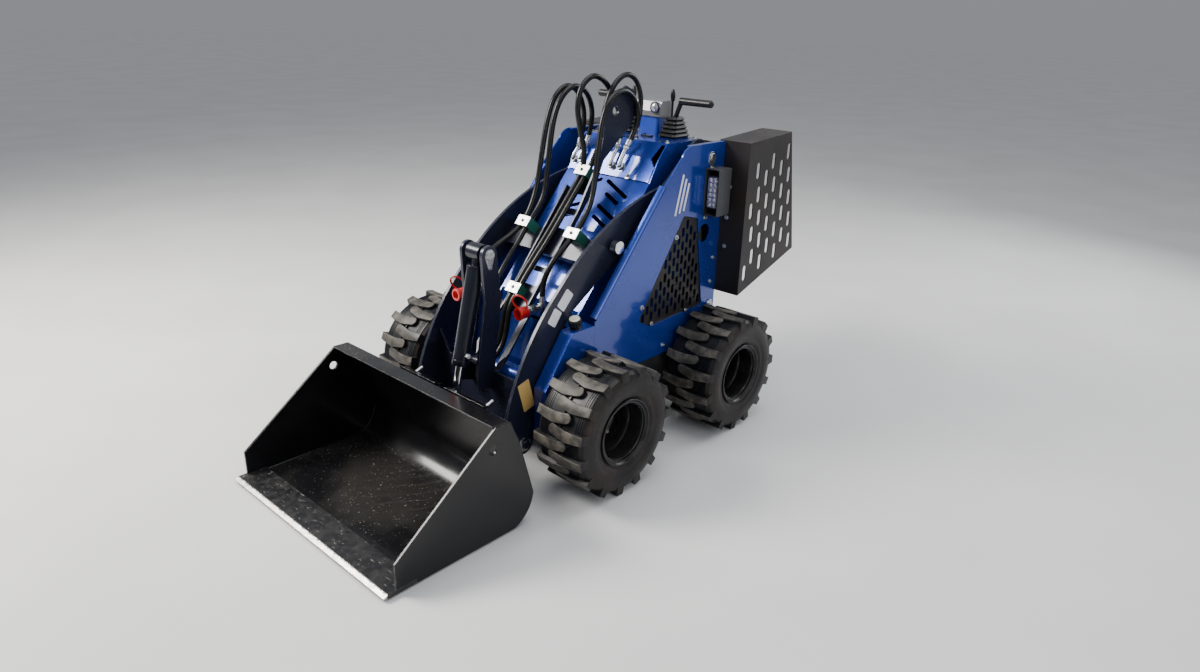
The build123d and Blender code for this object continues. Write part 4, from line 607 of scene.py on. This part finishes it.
# Wheels: tyres with moulded lugs, thin ribs and tie bars, and stepped rims with their nuts
WHEELS = (("front_left", 0.169, 1), ("front_right", 0.169, -1), ("rear_left", -0.503, 1), ("rear_right", -0.503, -1))
TYRE_R, TYRE_MID_Y, TYRE_HALF = 0.2286, 0.438, 0.108
TREAD_R, SHOULDER_U = 0.2126, 0.0842
BEAD_R, BEAD_U = 0.1019, 0.0947
WALL_RINGS = ((0.131, 0.007, 0.0026), (0.147, 0.004, -0.0012))  # radius, half width, height
RIB_U, RIB_H, RIB_W = (0.086, 0.078, 0.070, 0.062), 0.0015, 0.0022
LUG_COUNT, LUG_EDGE, LUG_FOOT_R = 15, 0.027, 0.1826
LUG_TOP_R = math.sqrt(TYRE_R ** 2 - LUG_EDGE ** 2)
LUG_PHASE = math.asin(LUG_EDGE / TYRE_R)
LUG_RINGS = (  # radius, how far inside the outline
    (LUG_FOOT_R, -0.0018), (LUG_TOP_R - 0.0022, 0.0004), (LUG_TOP_R - 0.0006, 0.0012), (LUG_TOP_R, 0.0026))
TIE_W, TIE_L, TIE_FOOT_R, TIE_TOP_R = 0.0055, 0.018, TREAD_R - 0.002, TREAD_R + 0.008
TIE = ((-TIE_W / 2, -TIE_L / 2), (TIE_W / 2, -TIE_L / 2), (TIE_W / 2, TIE_L / 2), (-TIE_W / 2, TIE_L / 2))


def lug_outline(side):
    """One lug seen from outside: u across the tyre, v round it."""
    end = three_point_arc((-0.022, 0.020), (-0.040, 0.003), (-0.026, -0.015), 9)
    points = [(0.104, 0.015), (0.068, 0.0125), (0.030, 0.012), (0.004, 0.0152)] + end + [
        (0.002, -0.0215), (0.030, -LUG_EDGE), (0.068, -0.0225), (0.104, -0.016)]
    points = [(side * u, v) for u, v in points]
    return points if side > 0 else points[::-1]


def tyre_profile():
    """Radius and u of the tyre's body from its outer bead to the inner one."""
    half = [(BEAD_R, BEAD_U)]
    for r, u in three_point_arc((0.119, BEAD_U), (0.165, TYRE_HALF), (0.2046, 0.1004), 18):
        lift = sum(height * max(0, 1 - abs(r - at) / width) for at, width, height in WALL_RINGS)
        half.append((r, min(TYRE_HALF - 0.0001, u + lift)))
    for u in RIB_U:
        foot = TREAD_R - max(0.0, u - SHOULDER_U) * 0.5
        half += [(foot, u + RIB_W / 2), (foot + RIB_H, u + RIB_W / 4), (foot + RIB_H, u - RIB_W / 4),
                 (foot, u - RIB_W / 2)]
    half += [(TREAD_R, 0.05), (TREAD_R + 0.0006, 0.0)]
    return half + [(r, -u) for r, u in reversed(half[:-1])] + [half[0]]


def on_tyre(axle_x, mid_y, turn, u, v, r):
    """Point at u across and v round from a lug's middle at radius r, turned about the axle."""
    c, s = math.cos(turn), math.sin(turn)
    return (axle_x + v * c - r * s, mid_y + u, TYRE_R - v * s - r * c)


RIM_PROFILE = [
    (0, -0.0165), (0.012, -0.0165), (0.030, -0.018), (0.040, -0.020), (0.042, -0.0225), (0.042, -0.0365),
    (0.046, -0.0385), (0.050, -0.0385), (0.053, -0.040), (0.073, -0.040), (0.077, -0.0375), (0.084, -0.0375),
    (0.0905, -0.034), (0.0930, -0.026), (0.0930, -0.018), (0.0905, -0.012), (0.0905, 0.018), (0.0925, 0.025),
    (0.0962, 0.030), (0.0962, 0.080), (0.099, 0.087), (0.1045, 0.0905), (0.1075, 0.095),
    *reversed(arc((0.1138, 0.0985), 0.0035, -20, 190, 8)),
    (0.1170, 0.0965), (0.1016, 0.0945), (0.1016, -0.0945), (0.117, -0.095), (0.117, -0.100), (0.0966, -0.100),
    (0.0966, -0.048), (0.042, -0.048), (0.042, -0.092), (0.0203, -0.092), (0.0203, -0.050), (0, -0.050)]
NUT_PROFILE = [(0.0115, 0), (0.0115, 0.016), (0.0100, 0.0185), (0.0065, 0.0185), (0.0062, 0.027), (0.005, 0.028),
               (0, 0.028)]
VALVE_PROFILE = [(0.006, 0), (0.0055, 0.004), (0.004, 0.006), (0.004, 0.022), (0.0046, 0.023), (0.0046, 0.031),
                 (0.003, 0.033), (0, 0.033)]
NUT_COUNT, NUT_RING_R, NUT_PHASE, NUT_DEPTH = 5, 0.063, 0.35, 0.040
VALVE_RING_R, VALVE_DEPTH = 0.082, 0.0375
for wheel, axle_x, side in WHEELS:
    mid_y = side * TYRE_MID_Y
    middle, outward = (axle_x, mid_y, TYRE_R), (0, side, 0)
    form = Shape()
    form.lathe(tyre_profile(), middle, (0, 1, 0), 144)
    for row, half_turn in ((1, 0.0), (-1, math.pi / LUG_COUNT)):
        outline = lug_outline(row)
        n = len(outline)
        lug_faces = ring_faces(len(LUG_RINGS), n) + [tuple(range(3 * n, 4 * n))]
        for i in range(LUG_COUNT):
            turn = half_turn - LUG_PHASE + 2 * math.pi / LUG_COUNT * i
            form.add([on_tyre(axle_x, mid_y, turn, u, v, r) for r, d in LUG_RINGS for u, v in inset(outline, d)],
                     lug_faces)
            between = turn + math.pi / LUG_COUNT / 2
            form.add([on_tyre(axle_x, mid_y, between, u, v, r) for r in (TIE_FOOT_R, TIE_TOP_R) for u, v in TIE],
                     ring_faces(2, 4) + [(4, 5, 6, 7)])
    tyre = form.piece(f"tyre_{wheel}_tread", "tyre_rubber", f"wheel_{wheel}", angle=30)
    uv = tyre.data.uv_layers.new(name="form")
    for loop in tyre.data.loops:
        co = tyre.data.vertices[loop.vertex_index].co
        uv.data[loop.index].uv = (math.hypot(co.x - axle_x, co.z - TYRE_R) / TYRE_R, abs(co.y - mid_y) / TYRE_HALF)
    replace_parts(tyre, f"tyre_{wheel}")

    rim = Shape()
    rim.lathe(RIM_PROFILE, middle, outward, 96)
    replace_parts(rim.piece(f"rim_{wheel}_dish", "rim_paint", f"wheel_{wheel}", angle=28), f"rim_{wheel}")
    nuts = Shape()
    for i in range(NUT_COUNT):
        a = 2 * math.pi * i / NUT_COUNT + NUT_PHASE
        nuts.lathe(NUT_PROFILE, (axle_x + NUT_RING_R * math.cos(a), mid_y - side * NUT_DEPTH,
                                 TYRE_R + NUT_RING_R * math.sin(a)), outward, 6)
    nuts.lathe(VALVE_PROFILE, (axle_x + VALVE_RING_R, mid_y - side * VALVE_DEPTH, TYRE_R), outward, 12)
    nuts.piece(f"wheel_nuts_{wheel}", "zinc", f"wheel_{wheel}", material="dusty_zinc")

# Bolts, pin keepers and covers
Y_PANEL, Y_ARM, Y_BRACKET = 0.310, 0.246, 0.058
DECK_Z = 1.070
BOOM_PIN, TILT_PIN, BUCKET_PIN = (-0.534, 1.022), (0.329, 0.760), (0.354, 0.145)  # x, z
LIFT_FOOT, LIFT_EYE = (-0.585, 0.440), (-0.060, 0.760)
PANEL_BOLTS = [(-0.164, 0.522), (-0.224, 0.446), (-0.432, 0.448), (-0.346, 0.751), (-0.518, 0.799), (-0.584, 0.532),
               (-0.591, 0.628), (0.040, 0.340), (-0.300, 0.340), (-0.580, 0.340)]
LIGHT_BOLTS = [(-0.568, 0.962), (-0.568, 0.853)]
GUARD_X, GUARD_BOLTS = -0.617, [(0.344, 0.906), (0.341, 0.788), (0.340, 0.675)]  # y, z
DECK_BOLTS = [(-0.420, 0.185), (-0.590, 0.185)]  # x, y
COWL_BOLT, COWL_OUT = (-0.3085, 0.098, 0.949), (0.755, 0, 0.656)
trim, boom_trim, foot_trim = Shape(), Shape(), Shape()
for _, side in SIDES:
    outward, backward = (0, side, 0), (-side, 0, 0)
    for x, z in PANEL_BOLTS:
        trim.bolt((x, side * Y_PANEL, z), outward, 0.0055)
    for y, z in GUARD_BOLTS:
        trim.bolt((GUARD_X, side * y, z), (1, 0, 0), 0.005)
    for x, z in LIGHT_BOLTS:
        trim.bolt((x, side * Y_PANEL, z), outward, 0.004)
    x, y, z = COWL_BOLT
    trim.bolt((x, side * y, z), COWL_OUT, 0.0065, washer=2.1)
    for x, y in DECK_BOLTS:
        trim.bolt((x, side * y, DECK_Z), (0, 0, 1), 0.005)

    x, z = BOOM_PIN
    trim.plate(teardrop(0.021, 0.009, 0.040), 0.004, (x, side * Y_PANEL, z), outward, along=backward)
    trim.lathe([(0.015, 0), (0.015, 0.004), (0.0135, 0.0055), (0, 0.0055)], (x, side * (Y_PANEL + 0.004), z),
               outward, 28)
    trim.bolt((x, side * (Y_PANEL + 0.004), z - 0.039), outward, 0.0045, washer=1.3)
    x, z = LIFT_FOOT
    trim.lathe([(0.017, 0), (0.017, 0.005), (0.015, 0.007), (0, 0.007)], (x, side * Y_PANEL, z), outward)

    x, z = TILT_PIN
    boom_trim.plate(teardrop(0.020, 0.008, 0.042), 0.003, (x, side * Y_BRACKET, z), outward, along=backward)
    boom_trim.lathe([(0.0165, 0), (0.0165, 0.004), (0.015, 0.0055), (0.006, 0.0055), (0.005, 0.0045), (0, 0.0045)],
                    (x, side * (Y_BRACKET + 0.003), z), outward, 28)
    boom_trim.bolt((x, side * (Y_BRACKET + 0.003), z - 0.041), outward, 0.0042, washer=1.2)
    x, z = BUCKET_PIN
    foot_trim.lathe([(0.026, 0), (0.026, 0.003), (0.0235, 0.0045), (0.013, 0.0045), (0.012, 0.0105), (0.010, 0.012),
                     (0, 0.012)], (x, side * (Y_ARM + 0.0005), z), outward, 28)
trim.piece("chassis_bolts", "zinc", "chassis")
boom_trim.piece("boom_pin_keepers", "zinc", "boom")
foot_trim.piece("foot_pin_heads", "zinc", "bucket")

# Hose tray's frame, as in part.py: s up the slope, n away from the hood
TRAY_LOW, TRAY_TOP = Vector((0.343, 0, 0.326)), Vector((-0.146, 0, 0.916))
TRAY_UP = (TRAY_TOP - TRAY_LOW).normalized()
TRAY_OUT = Vector((TRAY_UP.z, 0, -TRAY_UP.x))


def on_tray(s, n, y):
    return TRAY_LOW + TRAY_UP * s + TRAY_OUT * n + Vector((0, y, 0))


# Plated covers with a sunk screw on the hose clamps
CLAMPS = [(0.326, 0.024, -0.024), (0.823, 0.024, 0.003), (0.572, 0.0385, 0.120), (0.572, 0.0385, -0.128)]
CAP_FOOT_N = 0.022  # the two last covers stand on caps that rise from here
covers, screws, caps = Shape(), Shape(), Shape()
for s, n, y in CLAMPS:
    covers.plate(rounded(0.040, 0.061, 0.003), 0.0035, on_tray(s, n, y), TRAY_OUT, along=TRAY_UP)
    screws.lathe([(0.0062, 0), (0.0062, 0.003), (0.0052, 0.0042), (0.0034, 0.0042), (0.0034, 0.002), (0, 0.002)],
                 on_tray(s, n + 0.0033, y), TRAY_OUT, 12)
for s, n, y in CLAMPS[2:]:
    caps.plate(rounded(0.039, 0.060, 0.003), n - CAP_FOOT_N, on_tray(s, CAP_FOOT_N, y), TRAY_OUT, along=TRAY_UP)
caps.piece("clamp_caps", "clamp_plastic", "boom")
covers.piece("clamp_covers", "zinc", "boom", material="cover_plate")
screws.piece("clamp_screws", "cylinder_paint", "boom")

# Coupler ends: release collar, cap loop and strap
COUPLERS = [(0.100, 0.118, 0.545), (-0.170, 0.168, 0.560)]  # y, x, z of the body's rear end
collars = Shape()
for y, x, z in COUPLERS:
    collars.lathe([(0.0165, 0), (0.0165, 0.004), (0.0150, 0.006), (0.0150, 0.016), (0.0165, 0.018), (0.0165, 0.021),
                   (0.012, 0.021)], (x + 0.071, y, z), (1, 0, 0), 28)
    collars.lathe([(0.0125, 0), (0.0140, 0.001), (0.0140, 0.012), (0.0125, 0.013), (0, 0.013)], (x - 0.001, y, z),
                  (1, 0, 0), 6)
collars.piece("coupler_collars", "zinc", "boom")


def strap(path, width_dir, width, thick):
    """A flat band along a path: (vertices, faces)."""
    verts = []
    wide = Vector(width_dir).normalized() * width / 2
    for i, here in enumerate(path):
        ahead = (path[min(i + 1, len(path) - 1)] - path[max(i - 1, 0)]).normalized()
        up = ahead.cross(wide).normalized() * thick / 2
        verts += [here - wide - up, here + wide - up, here + wide + up, here - wide + up]
    return verts, ring_faces(len(path), 4) + [(3, 2, 1, 0), tuple(range(len(verts) - 4, len(verts)))]


LOOP_SIDE, LOOP_WIDE = Vector((0.72, -0.69, 0.0)), Vector((0.69, 0.72, 0.25))
LOOP_W, LOOP_H, LOOP_LEAN, LOOP_STEPS = 0.023, 0.027, 0.012, 28
loops = Shape()
for y, x, z in COUPLERS:
    middle = Vector((x + 0.118, y, z + 0.042))
    ring = []
    for k in range(LOOP_STEPS + 1):
        a = 2 * math.pi * k / LOOP_STEPS
        ring.append(middle + LOOP_SIDE * (LOOP_W * math.sin(a)) - Vector((LOOP_LEAN, 0, LOOP_H)) * math.cos(a))
    loops.add(*strap(ring, LOOP_WIDE, 0.012, 0.0055))
    loops.lathe([(0.0222, 0), (0.0232, 0.001), (0.0232, 0.006), (0.0222, 0.007), (0.0205, 0.007)], (x + 0.121, y, z),
                (1, 0, 0), 32)
loops.piece("cap_loops", "red_plastic", "boom", angle=50)

# Lamps: a lens with rows of small reflector bowls behind a clear face, and the pod's round lens
LENS_X, LENS_Z, LENS_W, LENS_H = -0.509, 0.8985, 0.040, 0.112
LENS_MID_Y = Y_PANEL + 0.031
BOWL_ROWS, BOWL_COLUMNS, BOWL_PITCH = 6, 2, 0.0180
BOWL_PROFILE = [(0.0086, 0), (0.0082, 0.0016), (0.0066, 0.0036), (0.0040, 0.0050), (0, 0.0055)]
lens = Shape()
for _, side in SIDES:
    lens.plate(rounded(LENS_H, LENS_W, 0.007), 0.003, (LENS_X, side * LENS_MID_Y, LENS_Z), (1, 0, 0), along=(0, 0, 1),
               bevel=0.0008)
    for row in range(BOWL_ROWS):
        for column in range(BOWL_COLUMNS):
            lens.lathe(BOWL_PROFILE, (LENS_X + 0.0028,
                                      side * LENS_MID_Y + (column - (BOWL_COLUMNS - 1) / 2) * BOWL_PITCH,
                                      LENS_Z + (row - (BOWL_ROWS - 1) / 2) * BOWL_PITCH), (1, 0, 0), 12)
POD_LENS = (-0.516, 0.045, 1.177)
lens.lathe([(0.0185, 0), (0.0185, 0.002), (0.0165, 0.0055), (0.0110, 0.0090), (0.005, 0.0105), (0, 0.0108)], POD_LENS,
           (1, 0, 0), 32)
lens.piece("lamp_lenses", "lamp", "chassis", material="lens")
bezel = Shape()
bezel.lathe([(0.0185, -0.003), (0.0215, -0.003), (0.0222, 0.001), (0.0215, 0.0045), (0.0195, 0.0050), (0.0185, 0.003)],
            POD_LENS, (1, 0, 0), 36)
SWITCH_X, SWITCH_Y, SWITCH_T = -0.493, 0.030, 0.006
bezel.plate(rounded(0.050, 0.018, 0.003), SWITCH_T, (SWITCH_X, SWITCH_Y, DECK_Z), (0, 0, 1), along=(0, 1, 0))
bezel.lathe([(0.006, 0), (0.006, 0.003), (0.004, 0.005), (0, 0.005)], (SWITCH_X, SWITCH_Y - 0.012, DECK_Z + SWITCH_T),
            (0, 0, 1), 16)
bezel.piece("pod_trim", "cylinder_paint", "chassis")

# Hose ends on the deck: crimped sleeves with hexagon nuts
STEM_R, STEM_SIDES, STEM_STEPS = 0.0078, 16, 8
RIDGE_COUNT, RIDGE_R, GROOVE_R = 5, 0.0117, 0.0110


def fitting(form, hose, seat, normal, sleeve_l):
    """Base nut on its seat, a bent stem, then nut and ridged sleeve up to the hose's end."""
    before, end = (Vector(metres(p)) for p in HOSES[hose][3][-2:])
    seat, normal, down = Vector(seat), Vector(normal).normalized(), (end - before).normalized()
    form.lathe([(0.0175, 0), (0.0175, 0.0015), (0.0150, 0.002)], seat, normal, 28)
    form.lathe([(0.0140, 0.0015), (0.0146, 0.003), (0.0146, 0.012), (0.0130, 0.0135), (0.0105, 0.0135),
                (0.0105, 0.016)], seat, normal, 6)
    elbow, foot = seat + normal * 0.017, end + down * sleeve_l
    bend = [seat + normal * 0.010]
    for k in range(STEM_STEPS + 1):
        t = k / STEM_STEPS
        bend.append(elbow.lerp(elbow + normal * 0.010, t) * (1 - t) + (foot + down * 0.002).lerp(foot, t) * t)
    form.add(*tube_rings(bend, STEM_R, STEM_SIDES))
    form.lathe([(0, 0), (0.0112, 0), (0.0124, 0.0015), (0.0124, 0.009), (0.0112, 0.0105), (0, 0.0105)],
               foot - down * 0.009, down, 6)
    body_l = sleeve_l - 0.010
    pitch = (body_l - 0.003) / RIDGE_COUNT
    ridges = [(0.0098, 0), (0.0108, 0.0008)]
    for k in range(RIDGE_COUNT):
        h = 0.0012 + pitch * k
        ridges += [(RIDGE_R, h), (RIDGE_R, h + pitch * 0.62), (GROOVE_R, h + pitch * 0.80)]
    ridges += [(RIDGE_R, body_l - 0.0015), (0.0108, body_l), (0, body_l)]
    form.lathe(ridges, end - down * 0.001, down, 24)


# The cowl's face between hood and deck
FACE_LOW, FACE_TOP = Vector((-0.3015, 0, 0.9413)), Vector((-0.350, 0, 1.018))
FACE_OUT = (0.0767, 0, 0.0485)
ON_FACE = (("centre_right", 0.42, 0.008), ("left", 0.42, 0.053), ("right_inner", 0.46, -0.150),
           ("right_outer", 0.40, -0.184))  # hose, share of the way up the face, y
deck_ends = Shape()
for hose, share, y in ON_FACE:
    fitting(deck_ends, hose, FACE_LOW.lerp(FACE_TOP, share) + Vector((0, y, 0)), FACE_OUT, 0.034)
fitting(deck_ends, "centre_left", (-0.416, 0.034, DECK_Z), (0, 0, 1), 0.022)
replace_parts(deck_ends.piece("deck_hose_ends", "zinc", "chassis", angle=32), "deck_fittings")

# Filler cap with a fluted skirt and a pale top, leaning forward a little
CAP_AT, CAP_UP = Vector((0.148, 0.281, 0.519)), Vector((0.30, 0.12, 1.0)).normalized()
FLUTE_STEPS, FLUTE_R, FLUTE_FOOT_R = 72, 0.0228, 0.0214
cap = Shape()
cap.lathe([(0.0195, -0.004), (0.0195, 0.003), (0.0178, 0.005), (0.0178, 0.018)], CAP_AT, CAP_UP, 32)
flutes = []
for k in range(FLUTE_STEPS):
    r, a = FLUTE_R if k % 4 < 2 else FLUTE_FOOT_R, 2 * math.pi * k / FLUTE_STEPS
    flutes.append((r * math.cos(a), r * math.sin(a)))
cap.plate(flutes, 0.020, CAP_AT + CAP_UP * 0.018, CAP_UP, bevel=0.0010)
cap.lathe([(0.0205, 0.0375), (0.0195, 0.0400), (0.0180, 0.0410)], CAP_AT, CAP_UP, 40)
cap_piece = cap.piece("filler_cap_fluted", "cap_plastic", "chassis")
cap_top = Shape()
cap_top.lathe([(0.0185, 0.0380), (0.0185, 0.0412), (0.0165, 0.0422), (0.006, 0.0426), (0, 0.0426)], CAP_AT, CAP_UP, 40)
cap_top.piece("filler_cap_top", "cap_plastic", "chassis", material="pale_top")
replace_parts(cap_piece, "filler_cap")

# Blank labels on the left arm and plain stripes on the panels
LABEL_T, LABEL_LIFT, LABEL_BEVEL = 0.0004, 0.0001, 0.0001
ARM_LABELS = (((0.157, 0.655), (0.120, 0.627), (0.172, 0.571), (0.208, 0.601)),
              ((0.212, 0.600), (0.177, 0.574), (0.215, 0.523), (0.249, 0.555)))  # x, z of the corners
labels, tan, stripes = Shape(), Shape(), Shape()
for corners in ARM_LABELS:
    middle = Vector((sum(x for x, _ in corners) / 4, Y_ARM + LABEL_LIFT, sum(z for _, z in corners) / 4))
    slope = Vector((corners[2][0] - corners[1][0], 0, corners[2][1] - corners[1][1]))
    labels.plate(rounded(slope.length - 0.007, 0.042, 0.006), LABEL_T, middle, (0, 1, 0), along=slope,
                 bevel=LABEL_BEVEL)
labels.piece("arm_labels_pale", "pod_plastic", "boom", material="label_pale")
tan.plate(rounded(0.108, 0.050, 0.003), LABEL_T, (0.3435, Y_ARM + LABEL_LIFT, 0.322), (0, 1, 0),
          along=(0.030, 0, 0.110), bevel=LABEL_BEVEL)
tan.piece("arm_label_tan", "pod_plastic", "boom", material="label_tan")
for _, side in SIDES:
    for k in range(3):
        stripes.plate(rounded(0.150 - 0.024 * k, 0.010, 0.002), LABEL_T,
                      (-0.349 - 0.021 * k, side * (Y_PANEL + LABEL_LIFT), 0.905 - 0.006 * k), (0, side, 0),
                      along=(0.26, 0, -1.0), bevel=LABEL_BEVEL)
stripes.piece("panel_stripes", "pod_plastic", "chassis", material="label_pale")

# Cylinders: gland nuts, a weld ring and a port, at distances along the barrels
TILT_TOP, TILT_EYE = Vector((TILT_PIN[0], 0, TILT_PIN[1])), Vector((0.455, 0, 0.240))
TILT_WAY = (TILT_EYE - TILT_TOP).normalized()
TILT_RING, TILT_PORT, TILT_GLAND, LIFT_GLAND = 0.046, 0.350, 0.371, 0.497
LIFT_Y = 0.272
glands, ports = Shape(), Shape()
glands.lathe([(0.0300, 0), (0.0308, 0.001), (0.0308, 0.014), (0.0300, 0.016), (0.0300, 0.018), (0.0285, 0.020)],
             TILT_TOP + TILT_WAY * TILT_GLAND, TILT_WAY, 40)
glands.lathe([(0.0290, 0), (0.0305, 0.002), (0.0305, 0.006), (0.0290, 0.008)], TILT_TOP + TILT_WAY * TILT_RING,
             TILT_WAY, 40)
glands.piece("tilt_gland", "cylinder_paint", "tilt_barrel")
ports.lathe([(0.0100, 0), (0.0100, 0.006), (0.0085, 0.008), (0.0085, 0.014), (0.0070, 0.016), (0, 0.016)],
            TILT_TOP + TILT_WAY * TILT_PORT + Vector((0, 0.027, 0)), (0.3, 1, 0), 6)
ports.piece("tilt_port", "zinc", "tilt_barrel")
for name, side in SIDES:
    foot, eye = (Vector((x, side * LIFT_Y, z)) for x, z in (LIFT_FOOT, LIFT_EYE))
    way = (eye - foot).normalized()
    gland = Shape()
    gland.lathe([(0.0220, 0), (0.0232, 0.001), (0.0232, 0.016), (0.0222, 0.018), (0.0222, 0.021), (0.0205, 0.023)],
                foot + way * LIFT_GLAND, way, 36)
    gland.piece(f"lift_gland_{name}", "cylinder_paint", f"lift_barrel_{name}")

# Weld beads along the bucket's side plates, and plug welds on its edge
WELD_Y, WELD_R, WELD_STEP = 0.4285, 0.0030, 0.003
WELD_LINE = [(0.935, 0.0115), (0.576, 0.0115), (0.545, 0.0250), (0.5245, 0.047), (0.506, 0.078), (0.498, 0.107),
             (0.556, 0.309), (0.588, 0.377), (0.638, 0.3805)]  # x, z


def bead(form, path):
    """A rippled bead along a path in a plane across Y."""
    line, verts = [], []
    for a, b in zip(path, path[1:]):
        steps = max(2, int((b - a).length / WELD_STEP))
        line += [a.lerp(b, k / steps) for k in range(steps)]
    across = Vector((0, 1, 0))
    for i, (here, after) in enumerate(zip(line, line[1:])):
        over = (after - here).normalized().cross(across)
        r = WELD_R * (1.0 + 0.22 * math.sin(i * 2.4))
        verts += [here + (across * math.cos(math.pi * k / 3) + over * math.sin(math.pi * k / 3)) * r
                  for k in range(6)]
    form.add(verts, ring_faces(len(line) - 1, 6))


welds = Shape()
for _, side in SIDES:
    bead(welds, [Vector((x, side * WELD_Y, z)) for x, z in WELD_LINE])
welds.piece("bucket_welds", "bucket_paint", "bucket", angle=60)
PLUG_X, PLUG_Z = 0.962, 0.0198
plugs = Shape()
for y in (-0.300, -0.100, 0.100, 0.300):
    plugs.lathe([(0.0105, 0), (0.0105, 0.0008), (0.0088, 0.0016), (0.0050, 0.0012), (0, 0.0018)],
                (PLUG_X, y, PLUG_Z), (0, 0, 1), 20)
plugs.piece("edge_plug_welds", "bare_edge", "bucket")

# Floor and lights
FLOOR_HALF = 45.0
floor = mesh_object("studio_floor", [(-FLOOR_HALF, -FLOOR_HALF, 0), (FLOOR_HALF, -FLOOR_HALF, 0),
                                     (FLOOR_HALF, FLOOR_HALF, 0), (-FLOOR_HALF, FLOOR_HALF, 0)],
                    [(0, 1, 2, 3)], "pod_plastic", None)
floor_mat = Mat("floor_pale", Specular_IOR_Level=0.2)
floor.data.materials[0] = floor_mat.finish(
    floor_mat.mix(floor_mat.span(floor_mat.noise(1.5, 3), 0.3, 0.7), (0.60, 0.595, 0.585), (0.64, 0.635, 0.625)),
    floor_mat.span(floor_mat.noise(6, 3), 0.3, 0.7, 0.7, 0.85))

LIGHTS = [  # name, position, aim, size, power, colour
    ("key", (2.4, -2.6, 3.3), (0.0, 0.0, 0.5), 2.0, 430, (1.0, 0.97, 0.92)),
    ("fill", (0.8, 4.4, 2.2), (0.0, 0.2, 0.5), 3.0, 70, (0.90, 0.94, 1.0)),
    ("top", (-0.4, 0.3, 4.4), (-0.2, 0.0, 0.0), 3.0, 110, (0.97, 0.98, 1.0)),
    ("back", (-4.0, 1.4, 2.4), (-0.3, 0.0, 0.6), 2.4, 90, (0.95, 0.97, 1.0)),
]
for name, at, aim, size, power, color in LIGHTS:
    data = bpy.data.lights.new(name, "AREA")
    data.size, data.energy, data.color = size, power, color
    lamp = bpy.data.objects.new(name, data)
    bpy.context.scene.collection.objects.link(lamp)
    lamp.location = at
    lamp.rotation_euler = (Vector(aim) - Vector(at)).to_track_quat("-Z", "Y").to_euler()

# The sky meets the floor in the floor's own far tone
HORIZON, SKY, SKY_FROM, SKY_STRENGTH = (0.555, 0.575, 0.615, 1.0), (0.88, 0.92, 1.0, 1.0), 0.45, 0.48
world = bpy.data.worlds.new("studio")
world.use_nodes = True
tree = world.node_tree
background = tree.nodes["Background"]
background.inputs["Strength"].default_value = SKY_STRENGTH
sky_coord = tree.nodes.new("ShaderNodeTexCoord")
sky_xyz = tree.nodes.new("ShaderNodeSeparateXYZ")
sky_span = tree.nodes.new("ShaderNodeMapRange")
sky_span.interpolation_type = "SMOOTHSTEP"
sky_span.inputs["From Min"].default_value, sky_span.inputs["From Max"].default_value = 0.0, SKY_FROM
sky_mix = tree.nodes.new("ShaderNodeMix")
sky_mix.data_type = "RGBA"
sky_mix.inputs[MIX_A].default_value, sky_mix.inputs[MIX_B].default_value = HORIZON, SKY
tree.links.new(sky_coord.outputs["Generated"], sky_xyz.inputs[0])
tree.links.new(sky_xyz.outputs[2], sky_span.inputs["Value"])
tree.links.new(sky_span.outputs[0], sky_mix.inputs["Factor"])
tree.links.new(sky_mix.outputs[MIX_OUT], background.inputs["Color"])
bpy.context.scene.world = world
